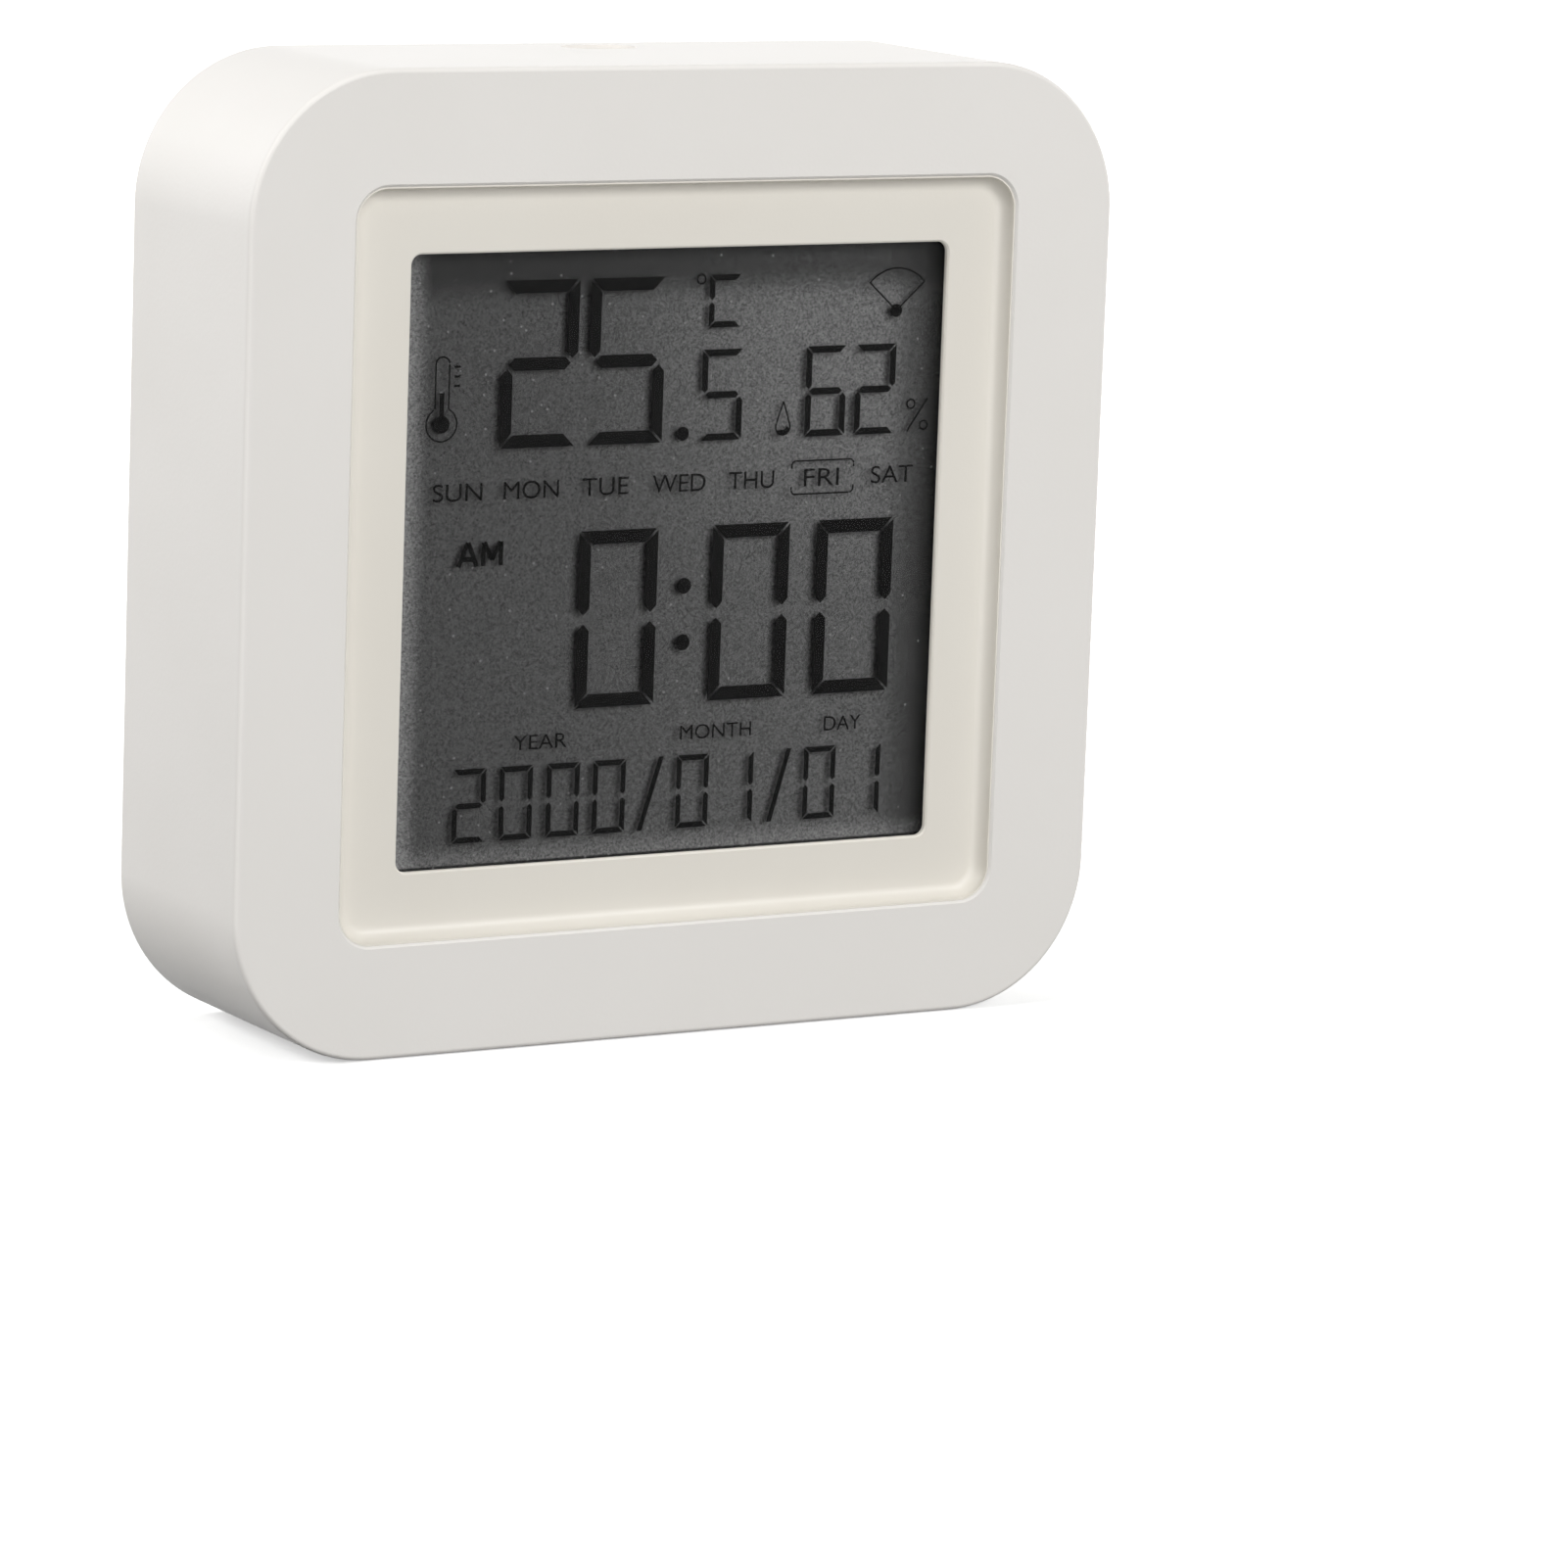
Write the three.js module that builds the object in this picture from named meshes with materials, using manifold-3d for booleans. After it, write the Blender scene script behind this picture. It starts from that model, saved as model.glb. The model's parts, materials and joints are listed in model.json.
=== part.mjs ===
// A desk thermo-hygrometer with a liquid crystal display, taken apart into the pieces it is made of.
// Millimetres, +Z up. The display faces -Y, X runs along the width, and the origin is the middle of
// the footprint, so the casing stands on the plane z = 0.
import * as THREE from 'three';
import { mergeVertices } from 'three/addons/utils/BufferGeometryUtils.js';
import Module from 'manifold-3d';

const wasm = await Module();
wasm.setup();

// Casing
const bodyWidth = 80;
const bodyHeight = 80;
const bodyDepth = 21.6;
const bodyCornerRadius = 12.5;
const bodyEdgeRadius = 1.2; // rounding of the front and rear edges
const frontWall = 2.0;
const sideWall = 2.4;
const rearRimWall = 1.6; // thinner wall round the rear cover; the step is the cover's ledge
const coverThickness = 2.2;
const coverGap = 0.15;
const coverSetBack = 0.1; // the cover lies this far inside the rear rim

// Display bezel: a shallow tray whose rim comes up to the casing's face
const bezelMargin = 9.4; // width of the casing's face round the bezel
const bezelCornerRadius = 2.8;
const bezelGap = 0.06; // parting line between the bezel and the casing
const bezelRim = 0.25;
const bezelFillet = 1.25; // hollow round between the tray's floor and its rim
const bezelFloorDepth = 1.4;
const bezelFlangeWidth = 1.2;
const bezelFlangeThickness = 1.2;
const windowMarginX = 5.65; // width of the bezel on each side of the window
const windowMarginZ = 5.55; // and above and below it
const windowCornerRadius = 0.9;
const windowLip = 0.5; // thickness of the tray's floor over the glass
const edgeBreak = 0.15; // small chamfer on the two front openings

// Display stack, front to back
const layerGap = 0.05;
const glassOverlap = 1.6; // glass hidden behind the lip on each side
const glassLedge = 2.4; // contact ledge of the front glass, above the rear glass
const frontGlass = 1.1;
const cellGap = 0.08;
const rearGlass = 1.1;
const reflectorFilm = 0.2;
const lightGuide = 2.2;
const pocketGap = 0.1;
const carrierPlate = 1.0;
const carrierWall = 3.4;
const carrierFootRadius = 2.0;
const contactStripWidth = 1.8;
const contactStripInset = 3.55; // from each end of the glass

// Circuit board and what it carries
const boardStandoff = 2.7; // free height between the carrier and the board
const boardThickness = 1.2;
const boardGap = 1.0; // clearance to the casing's walls
const postRadius = 2.2;
const postPitch = 32; // height between the two posts on each side
const boardScrew = { shank: 0.8, head: 1.9, headHeight: 1.2, length: 5.5, sides: 10 };
const chipSize = 9;
const chipHeight = 1.4;
const radioBoard = { width: 16, height: 22, thickness: 0.8 };
const shieldCan = { width: 13.6, height: 15, thickness: 2.1, radius: 0.8 };
const sensorSize = 3.0;
const sensorHeight = 1.1;
const sensorSlot = 1.0; // slot milled round the sensor, so that the board's heat stays away
const radioFromSide = 17.5; // centre of the radio board, from the casing's left side
const radioBelowVents = 4;
const chipX = 2;
const chipAboveCell = 6.5;

// Push buttons: the light button on top, the set button in the rear cover
const buttonGap = 0.1;
const topButtonWidth = 6.4;
const topButtonDepth = 3.6;
const topButtonFromRear = 4.4; // centre of the button, measured from the rear face
const topButtonSetBack = 0.25;
const topButtonDish = 0.35;
const buttonFlange = 1.0;
const switchTravel = 0.4;
const switchSize = 6.0;
const switchHeight = 3.6;
const plungerRadius = 1.65;
const plungerReach = 1.0; // how far a plunger stands out of its switch
const plungerInside = 1.4; // how much of it is inside
const plungerWell = plungerInside + switchTravel + 0.2; // depth of its hole, deeper than it travels
const plungerClearance = 0.15;
const setButtonRadius = 2.0;
const setButtonSetBack = 0.3;

// Power
const cellWidthShare = 0.55; // of the casing's width
const cellFromBottom = 9; // the cell runs from here to the casing's middle
const cellThickness = 5.0;
const cellPad = 0.5;
const leadRadius = 0.55;
const leadSpacing = 2.2;
const socketBesideCell = 7.1;
const socketAboveCell = 6;
const socketSize = { width: 7.4, height: 5.6, thickness: 4.4 };
const usbWidth = 7.5;
const usbThickness = 2.7;
const usbLength = 5.3;
const usbSheet = 0.3;
const usbAboveScrew = 9; // centre of the socket, from the board's lower screws
const socketRecess = { width: 11.2, height: 7.6, depth: 1.2 }; // shallow recess round the socket's mouth

// Rear cover
const bossRadius = 2.8;
const bossBelowCover = 1.2;
const coverScrew = { shank: 1.05, head: 2.2, headHeight: 1.4, length: 8.5, sides: 16 };
const coverSkirt = { thickness: 1.0, height: 2.2 };
const ventWidth = 1.5;
const ventHeight = 14;
const ventPitch = 3.1;
const ventCount = 6;
const ventGroupX = 18.5;
const ventFromTop = 18;
const ribThickness = 1.0;
const ribHeight = 1.2;
const ribFromWall = 7.6;

// Places worked out from the sizes above; a depth is measured back from the casing's front face.
const at = (depth) => depth - bodyDepth / 2;
const middle = bodyHeight / 2;
const innerHalfWidth = bodyWidth / 2 - sideWall;
const innerHalfHeight = bodyHeight / 2 - sideWall;
const bezelWidth = bodyWidth - 2 * bezelMargin;
const bezelHeight = bodyHeight - 2 * bezelMargin;
const flangeWidth = bezelWidth + 2 * bezelFlangeWidth;
const flangeHeight = bezelHeight + 2 * bezelFlangeWidth;
const flangeRadius = bezelCornerRadius + bezelFlangeWidth;
const windowWidth = bezelWidth - 2 * windowMarginX;
const windowHeight = bezelHeight - 2 * windowMarginZ;
const ventZ = bodyHeight - ventFromTop;
const setButtonZ = ventZ;
const coverFront = bodyDepth - coverThickness;
const coverRear = bodyDepth - coverSetBack;
const flangeFront = frontWall + layerGap;
const flangeRear = flangeFront + bezelFlangeThickness;
const glassWidth = windowWidth + 2 * glassOverlap;
const glassBottom = middle - windowHeight / 2 - glassOverlap;
const glassTop = middle + windowHeight / 2 + glassOverlap;
const frontGlassAt = bezelFloorDepth + windowLip + layerGap;
const rearGlassAt = frontGlassAt + frontGlass + cellGap;
const reflectorAt = rearGlassAt + rearGlass + layerGap;
const lightGuideAt = reflectorAt + reflectorFilm + layerGap;
const carrierFront = flangeRear + pocketGap;
const carrierPlateAt = lightGuideAt + lightGuide + pocketGap;
const carrierRear = carrierPlateAt + carrierPlate;
const boardFront = carrierRear + boardStandoff;
const boardRear = boardFront + boardThickness;
const onBoard = boardRear + layerGap; // seat of everything soldered to the rear of the board
const boardHalfWidth = innerHalfWidth - boardGap;
const boardHalfHeight = innerHalfHeight - boardGap;
const bossReach = (bodyCornerRadius - sideWall - bossRadius + 0.2) * Math.SQRT1_2;
const bossX = bodyWidth / 2 - bodyCornerRadius + bossReach;
const bossZ = bodyHeight / 2 - bodyCornerRadius + bossReach;
const bossRear = coverFront - bossBelowCover;
const postX = innerHalfWidth - postRadius - 0.6;
const postZ = postPitch / 2;
const contactStripZ = glassTop + 0.6 + contactStripWidth / 2;
const topButtonAt = bodyDepth - topButtonFromRear;
const topPlungerAt = onBoard + switchSize / 2;
const topSwitchZ = bodyHeight - sideWall - buttonFlange - 3.2 - switchHeight;
const usbAt = onBoard + usbThickness / 2;
const usbMouthX = innerHalfWidth - 0.2;
const usbZ = middle - postZ + usbAboveScrew;
const sensorX = ventGroupX;
const radioX = radioFromSide - bodyWidth / 2;
const radioZ = ventZ - radioBelowVents;
const contactStripLength = glassWidth - 2 * contactStripInset;
const cellWidth = cellWidthShare * bodyWidth;
const cellHeight = middle - cellFromBottom;
const cellX = bossRadius + 0.9 - bossX + cellWidth / 2; // beside the corner boss
const cellZ = cellFromBottom + cellHeight / 2;
const cellTop = cellFromBottom + cellHeight;
const chipZ = cellTop + chipAboveCell;
const socketX = cellX + cellWidth / 2 + socketBesideCell;
const socketZ = cellTop + socketAboveCell;

const corners = [[-1, -1], [1, -1], [-1, 1], [1, 1]];

const material = (color, roughness, metalness = 0) =>
	new THREE.MeshStandardMaterial({ color, roughness, metalness });

// Outlines are drawn in the XZ plane, seen from the front.
function roundedRect(width, height, radius, x = 0, z = middle) {
	const shape = new THREE.Shape();
	const r = Math.min(radius, width / 2 - 0.02, height / 2 - 0.02);
	const left = x - width / 2 + r, right = x + width / 2 - r;
	const bottom = z - height / 2 + r, top = z + height / 2 - r;
	shape.absarc(right, bottom, r, -Math.PI / 2, 0);
	shape.absarc(right, top, r, 0, Math.PI / 2);
	shape.absarc(left, top, r, Math.PI / 2, Math.PI);
	shape.absarc(left, bottom, r, Math.PI, Math.PI * 1.5);
	shape.closePath();
	return shape;
}

// A closed mesh becomes a solid that can be joined and cut.
function solid(geometry) {
	const bare = geometry.clone();
	bare.deleteAttribute('normal');
	bare.deleteAttribute('uv');
	const merged = mergeVertices(bare, 1e-4);
	return new wasm.Manifold(new wasm.Mesh({
		numProp: 3,
		vertProperties: Float32Array.from(merged.attributes.position.array),
		triVerts: Uint32Array.from(merged.index.array),
	}));
}

// An outline pulled straight back, from one depth to another; edge rounds or chamfers both ends inwards.
function slab(shape, from, to, { edge = 0, edgeSteps = 4, arcSteps = 6 } = {}) {
	const geometry = new THREE.ExtrudeGeometry(shape, {
		depth: to - from - 2 * edge,
		bevelEnabled: edge > 0,
		bevelThickness: edge,
		bevelSize: edge,
		bevelOffset: -edge,
		bevelSegments: edgeSteps,
		curveSegments: arcSteps,
	});
	geometry.rotateX(Math.PI / 2);
	geometry.translate(0, at(to - edge), 0);
	return solid(geometry);
}

function box(x0, x1, from, to, z0, z1) {
	const geometry = new THREE.BoxGeometry(x1 - x0, to - from, z1 - z0);
	geometry.translate((x0 + x1) / 2, at((from + to) / 2), (z0 + z1) / 2);
	return solid(geometry);
}

// A round bar along the depth.
function rod(radius, from, to, x, z, sides = 12) {
	const geometry = new THREE.CylinderGeometry(radius, radius, to - from, sides);
	geometry.translate(x, at((from + to) / 2), z);
	return solid(geometry);
}

// A round bar standing upright.
function post(radius, z0, z1, x, depth, sides = 24) {
	const geometry = new THREE.CylinderGeometry(radius, radius, z1 - z0, sides);
	geometry.rotateX(Math.PI / 2);
	geometry.translate(x, at(depth), (z0 + z1) / 2);
	return solid(geometry);
}

// A profile of [radius, depth] points turned round an axis that runs front to back.
function turned(profile, x, z, sides = 24) {
	const points = profile.map(([radius, depth]) => new THREE.Vector2(radius, at(depth)));
	const geometry = new THREE.LatheGeometry(points, sides);
	geometry.translate(x, 0, z);
	return solid(geometry);
}

const join = (first, ...rest) => rest.reduce((sum, next) => sum.add(next), first);
const cut = (first, ...rest) => rest.reduce((left, next) => left.subtract(next), first);

// The solid that cuts an opening with a chamfered front edge, at a given depth of that edge.
function openingCutter(width, height, radius, edgeDepth, to) {
	const through = slab(roundedRect(width, height, radius), edgeDepth - 1, to);
	const wide = roundedRect(width + 2 * edgeBreak, height + 2 * edgeBreak, radius + edgeBreak);
	return through.add(slab(wide, edgeDepth - 2, edgeDepth + edgeBreak, { edge: edgeBreak, edgeSteps: 1 }));
}

const thermoHygrometer = new THREE.Group();

function addPiece(name, body, look) {
	const { vertProperties, triVerts } = body.getMesh();
	const geometry = new THREE.BufferGeometry();
	geometry.setAttribute('position', new THREE.BufferAttribute(Float32Array.from(vertProperties), 3));
	geometry.setIndex(new THREE.BufferAttribute(Uint32Array.from(triVerts), 1));
	const flat = geometry.toNonIndexed();
	flat.computeVertexNormals();
	const mesh = new THREE.Mesh(flat, look);
	mesh.name = name;
	thermoHygrometer.add(mesh);
}

// The casing is one moulding: a rounded square tub, open at the back, with the bezel's opening in its
// face, a boss in each corner for the cover's screws and two posts on each side for the board's.
function frontCasing() {
	let shell = slab(roundedRect(bodyWidth, bodyHeight, bodyCornerRadius), 0, bodyDepth,
		{ edge: bodyEdgeRadius, edgeSteps: 4, arcSteps: 10 });
	const cavity = roundedRect(2 * innerHalfWidth, 2 * innerHalfHeight, bodyCornerRadius - sideWall);
	const rebate = roundedRect(bodyWidth - 2 * rearRimWall, bodyHeight - 2 * rearRimWall,
		bodyCornerRadius - rearRimWall);
	shell = cut(shell,
		slab(cavity, frontWall, bodyDepth + 1, { arcSteps: 8 }),
		slab(rebate, coverFront, bodyDepth + 1, { arcSteps: 8 }));

	for (const [sx, sz] of corners) {
		const x = sx * bossX, z = middle + sz * bossZ;
		const stop = bossRear - coverScrew.length;
		shell = join(shell, rod(bossRadius, frontWall - 0.5, bossRear, x, z));
		shell = cut(shell, rod(coverScrew.shank + 0.05, stop, bossRear + 1, x, z));
	}
	const web = ribThickness / 2;
	for (const [sx, sz] of corners) {
		const x = sx * postX, z = middle + sz * postZ;
		const wallX = sx * (innerHalfWidth + 0.5);
		shell = join(shell, rod(postRadius, frontWall - 0.5, boardFront - layerGap, x, z),
			box(Math.min(x, wallX), Math.max(x, wallX), frontWall - 0.5, boardFront - 1.5, z - web, z + web));
		shell = cut(shell, rod(boardScrew.shank + 0.05, boardFront - boardScrew.length, boardFront + 1, x, z));
	}

	// the bezel's opening, and room for its flange beside the bosses and posts
	const flangeRoom = roundedRect(flangeWidth + 2 * pocketGap, flangeHeight + 2 * pocketGap,
		flangeRadius + pocketGap);
	shell = cut(shell, slab(flangeRoom, frontWall, flangeRear + pocketGap),
		openingCutter(bezelWidth + 2 * bezelGap, bezelHeight + 2 * bezelGap, bezelCornerRadius + bezelGap,
			0, frontWall + 1));

	// hole for the light button, and the socket's opening in the right side
	shell = cut(shell, buttonWell(topButtonWidth + 2 * buttonGap, topButtonDepth + 2 * buttonGap,
		bodyHeight - sideWall - 1, bodyHeight + 1));
	return cut(shell, portCutter());
}

// An upright bar with half-round ends, centred on the light button.
function buttonWell(width, depth, z0, z1, edge = 0) {
	const shape = roundedRect(width, depth, depth / 2, 0, 0);
	const geometry = new THREE.ExtrudeGeometry(shape, {
		depth: z1 - z0 - 2 * edge, bevelEnabled: edge > 0, bevelThickness: edge, bevelSize: edge,
		bevelOffset: -edge, bevelSegments: 2, curveSegments: 8,
	});
	geometry.translate(0, at(topButtonAt), z0 + edge);
	return solid(geometry);
}

// The socket's opening: a shallow recess, and a close hole behind it for the metal shell.
function portCutter() {
	const outer = new THREE.ExtrudeGeometry(roundedRect(socketRecess.height, socketRecess.width, 1.6, 0, 0),
		{ depth: socketRecess.depth + 1, bevelEnabled: false, curveSegments: 5 });
	const inner = new THREE.ExtrudeGeometry(roundedRect(usbThickness + 0.7, usbWidth + 0.9, 1.0, 0, 0),
		{ depth: sideWall + 2, bevelEnabled: false, curveSegments: 4 });
	const toSide = (geometry, x) => {
		geometry.rotateX(Math.PI / 2);
		geometry.rotateZ(Math.PI / 2);
		geometry.translate(x, at(usbAt), usbZ);
		return solid(geometry);
	};
	return join(toSide(outer, bodyWidth / 2 - socketRecess.depth), toSide(inner, innerHalfWidth - 1));
}

// The bezel is a tray: its floor frames the window, and a hollow round runs up from it to a thin rim
// that stands flush in the casing's opening. A flange behind the casing's wall holds it.
function displayBezel() {
	const body = join(
		slab(roundedRect(bezelWidth, bezelHeight, bezelCornerRadius), layerGap, flangeRear),
		slab(roundedRect(flangeWidth, flangeHeight, flangeRadius), flangeFront, flangeRear));
	const tray = roundedRect(bezelWidth - 2 * bezelRim, bezelHeight - 2 * bezelRim,
		bezelCornerRadius - bezelRim);
	return cut(body,
		slab(tray, -4, bezelFloorDepth, { edge: bezelFillet, edgeSteps: 6 }),
		openingCutter(windowWidth, windowHeight, windowCornerRadius, bezelFloorDepth, flangeRear + 1),
		box(-glassWidth / 2 - pocketGap, glassWidth / 2 + pocketGap, bezelFloorDepth + windowLip, flangeRear + 1,
			glassBottom - pocketGap, glassTop + glassLedge + pocketGap));
}

// The carrier frames the rear glass, the film and the light guide, and presses them against the
// bezel; its four feet stand on the board.
function lcdCarrier() {
	const width = glassWidth + 2 * carrierWall, height = glassTop - glassBottom + 2 * carrierWall + 0.6;
	const pocket = box(-glassWidth / 2 - pocketGap, glassWidth / 2 + pocketGap, carrierFront - 1, carrierPlateAt,
		glassBottom - pocketGap, glassTop + pocketGap);
	const rearWindow = slab(roundedRect(glassWidth - 12, glassTop - glassBottom - 12, 3), carrierPlateAt - 1,
		carrierRear + 1);
	const stripSlot = box(-contactStripLength / 2 - pocketGap, contactStripLength / 2 + pocketGap,
		carrierFront - 1, carrierRear + 1,
		contactStripZ - contactStripWidth / 2 - pocketGap, contactStripZ + contactStripWidth / 2 + pocketGap);
	const lampNotch = box(-glassWidth / 2 - 2.6, -glassWidth / 2 + 0.1, lightGuideAt, carrierRear + 1,
		middle - 3, middle + 3);
	let frame = cut(slab(roundedRect(width, height, 3), carrierFront, carrierRear),
		pocket, rearWindow, stripSlot, lampNotch);
	for (const [sx, sz] of corners) {
		frame = join(frame, rod(carrierFootRadius, carrierRear - 0.5, boardFront - layerGap,
			sx * (glassWidth / 2 - 1.5), middle + sz * (windowHeight / 2 - 1.5)));
	}
	return frame;
}

// A lamp at the light guide's edge, on two leads that reach the board.
function backlightLamp() {
	const x1 = -glassWidth / 2 - 0.15, x0 = x1 - 2.2;
	const lead = (z) => box(x0 + 0.8, x0 + 1.3, lightGuideAt + 1, boardFront - layerGap, z - 0.25, z + 0.25);
	return join(box(x0, x1, lightGuideAt + 0.2, lightGuideAt + 1.8, middle - 2.2, middle + 2.2),
		lead(middle - 1.3), lead(middle + 1.3));
}

// The board fills the casing behind the display. Its corners clear the bosses, and a slot round the
// sensor leaves it on a narrow tongue.
function mainBoard() {
	const outline = roundedRect(2 * boardHalfWidth, 2 * boardHalfHeight,
		bodyCornerRadius - sideWall - boardGap);
	let board = slab(outline, boardFront, boardRear);
	for (const [sx, sz] of corners) {
		board = cut(board, rod(bossRadius + 0.5, boardFront - 1, boardRear + 1, sx * bossX, middle + sz * bossZ),
			rod(boardScrew.shank + 0.2, boardFront - 1, boardRear + 1, sx * postX, middle + sz * postZ));
	}
	const reach = sensorSize / 2 + 1.2;
	return cut(board,
		box(sensorX - reach - sensorSlot, sensorX + reach + sensorSlot, boardFront - 1, boardRear + 1,
			ventZ - reach - sensorSlot, ventZ - reach),
		box(sensorX - reach - sensorSlot, sensorX - reach, boardFront - 1, boardRear + 1,
			ventZ - reach - sensorSlot, ventZ + reach),
		box(sensorX + reach, sensorX + reach + sensorSlot, boardFront - 1, boardRear + 1,
			ventZ - reach - sensorSlot, ventZ + reach));
}

// A moisture and temperature sensor: a small package with a round window in its lid.
function humiditySensor() {
	const half = sensorSize / 2;
	return cut(box(sensorX - half, sensorX + half, onBoard, onBoard + sensorHeight, ventZ - half, ventZ + half),
		rod(0.7, onBoard + 0.5, onBoard + 2, sensorX, ventZ));
}

function shieldCanBody(x, z) {
	const floor = onBoard + radioBoard.thickness + layerGap;
	return slab(roundedRect(shieldCan.width, shieldCan.height, shieldCan.radius, x, z), floor,
		floor + shieldCan.thickness, { edge: 0.3, edgeSteps: 2, arcSteps: 3 });
}

// A square package on flat leads, four to a side.
function controlChip(x, z) {
	const half = chipSize / 2, pitch = 1.8;
	let chip = slab(roundedRect(chipSize, chipSize, 0.4, x, z), onBoard + 0.1, onBoard + chipHeight,
		{ arcSteps: 1 });
	for (let i = 0; i < 4; i++) {
		const along = (i - 1.5) * pitch;
		chip = join(chip,
			box(x - half - 1, x + half + 1, onBoard, onBoard + 0.35, z + along - 0.3, z + along + 0.3),
			box(x + along - 0.3, x + along + 0.3, onBoard, onBoard + 0.35, z - half - 1, z + half + 1));
	}
	return chip;
}

// The socket's metal shell: a flat tube with two bevelled corners, closed at the back, mouth in the
// casing's side.
function usbOutline(inset) {
	const halfZ = usbWidth / 2 - inset, halfY = usbThickness / 2 - inset, bevel = 0.9 - 0.4 * inset;
	const shape = new THREE.Shape();
	shape.moveTo(-halfY, -halfZ);
	shape.lineTo(-halfY, halfZ);
	shape.lineTo(halfY - bevel, halfZ);
	shape.lineTo(halfY, halfZ - bevel);
	shape.lineTo(halfY, -halfZ + bevel);
	shape.lineTo(halfY - bevel, -halfZ);
	shape.closePath();
	return shape;
}

function alongSide(shape, x0, x1) {
	const geometry = new THREE.ExtrudeGeometry(shape, { depth: x1 - x0, bevelEnabled: false });
	geometry.rotateX(Math.PI / 2);
	geometry.rotateZ(Math.PI / 2);
	geometry.translate(x0, at(usbAt), usbZ);
	return solid(geometry);
}

function usbShell() {
	return cut(alongSide(usbOutline(0), usbMouthX - usbLength, usbMouthX),
		alongSide(usbOutline(usbSheet), usbMouthX - usbLength + usbSheet, usbMouthX + 1));
}

// The insulator: a block at the back of the socket with the contact tongue standing out of it.
function usbTongue() {
	const back = usbMouthX - usbLength + usbSheet + layerGap;
	const inner = usbThickness / 2 - usbSheet - layerGap;
	const block = alongSide(usbOutline(usbSheet + layerGap), back, back + 1.2);
	const tongueFront = usbAt - inner + 0.35, tongueThickness = 0.6, tongueHalf = 1.9;
	const tongue = box(back + 0.6, usbMouthX - 0.8, tongueFront, tongueFront + tongueThickness,
		usbZ - tongueHalf, usbZ + tongueHalf);
	return join(block, tongue);
}

// A tact switch lying along the board's top edge, its plunger pointing up.
function topSwitchBody() {
	const half = switchSize / 2, top = topSwitchZ + switchHeight;
	return cut(box(-half, half, onBoard, onBoard + switchSize, topSwitchZ, top),
		post(plungerRadius + plungerClearance, top - plungerWell, top + 1, 0, topPlungerAt));
}

function topSwitchPlunger() {
	const top = topSwitchZ + switchHeight;
	return post(plungerRadius, top - plungerInside, top + plungerReach, 0, topPlungerAt);
}

// The light button: a dished cap in the casing's top wall, a flange that keeps it in, and a foot
// that reaches forward to the switch.
function topButton() {
	const under = bodyHeight - sideWall - buttonGap;
	const crown = bodyHeight - topButtonSetBack;
	const cap = buttonWell(topButtonWidth, topButtonDepth, under - buttonFlange / 2, crown, 0.2);
	const dishRadius = (topButtonWidth ** 2 / 4 + topButtonDish ** 2) / (2 * topButtonDish);
	const dish = new THREE.SphereGeometry(dishRadius, 36, 20);
	dish.translate(0, at(topButtonAt), crown + dishRadius - topButtonDish);
	const footHalf = { width: 1.5, depth: 1.2 };
	const footFront = topPlungerAt - footHalf.depth;
	const footBottom = topSwitchZ + switchHeight + plungerReach + layerGap;
	const flangeTo = Math.min(topButtonAt + topButtonDepth / 2 + 0.1, coverFront - 0.3);
	const flangeHalf = topButtonWidth / 2 + 1;
	const flange = box(-flangeHalf, flangeHalf, footFront, flangeTo, under - buttonFlange, under);
	const foot = box(-footHalf.width, footHalf.width, footFront, topPlungerAt + footHalf.depth,
		footBottom, under - buttonFlange / 2);
	return join(cut(cap, solid(dish)), flange, foot);
}

// The set button works a second switch, which faces the rear.
function setSwitchBody() {
	const half = switchSize / 2, rear = onBoard + switchHeight;
	const body = slab(roundedRect(switchSize, switchSize, 0.5, 0, setButtonZ), onBoard, rear, { arcSteps: 2 });
	const notches = [-1, 1].map((side) => box(side * half - 0.3, side * half + 0.3, onBoard - 1, onBoard + 1,
		setButtonZ - 1, setButtonZ + 1));
	return cut(body, rod(plungerRadius + plungerClearance, rear - plungerWell, rear + 1, 0, setButtonZ),
		...notches);
}

function setSwitchPlunger() {
	const rear = onBoard + switchHeight;
	return rod(plungerRadius, rear - plungerInside, rear + plungerReach, 0, setButtonZ);
}

function setButton() {
	const seat = coverFront - buttonGap;
	const foot = onBoard + switchHeight + plungerReach + layerGap;
	const tip = coverRear - setButtonSetBack;
	const r = setButtonRadius, flange = r + 0.9, stem = 1.3;
	return turned([[0, foot], [stem, foot], [stem, seat - buttonFlange], [flange, seat - buttonFlange],
		[flange, seat], [r, seat], [r, tip - 0.3], [r - 0.3, tip], [r - 0.9, tip], [0, tip - 0.25]],
	0, setButtonZ);
}

// The flat rechargeable cell is stuck to the board, with two leads to a plug.
function batteryCell() {
	const from = onBoard + cellPad + layerGap;
	return slab(roundedRect(cellWidth, cellHeight, 1.6, cellX, cellZ), from, from + cellThickness,
		{ edge: 0.9, edgeSteps: 3, arcSteps: 3 });
}

// An open-topped connector housing on the board, and the plug that sits in it.
function batterySocket() {
	const w = socketSize.width / 2, h = socketSize.height / 2;
	return cut(box(socketX - w, socketX + w, onBoard, onBoard + socketSize.thickness, socketZ - h, socketZ + h),
		box(socketX - w + 0.8, socketX + w - 0.8, onBoard + 0.8, onBoard + socketSize.thickness + 1,
			socketZ - h - 1, socketZ + h - 0.8));
}

function batteryPlug() {
	const w = socketSize.width / 2 - 0.9, h = socketSize.height / 2;
	return box(socketX - w, socketX + w, onBoard + 0.9, onBoard + socketSize.thickness - 0.4,
		socketZ - h - 1.6, socketZ + h - 0.9);
}

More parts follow.
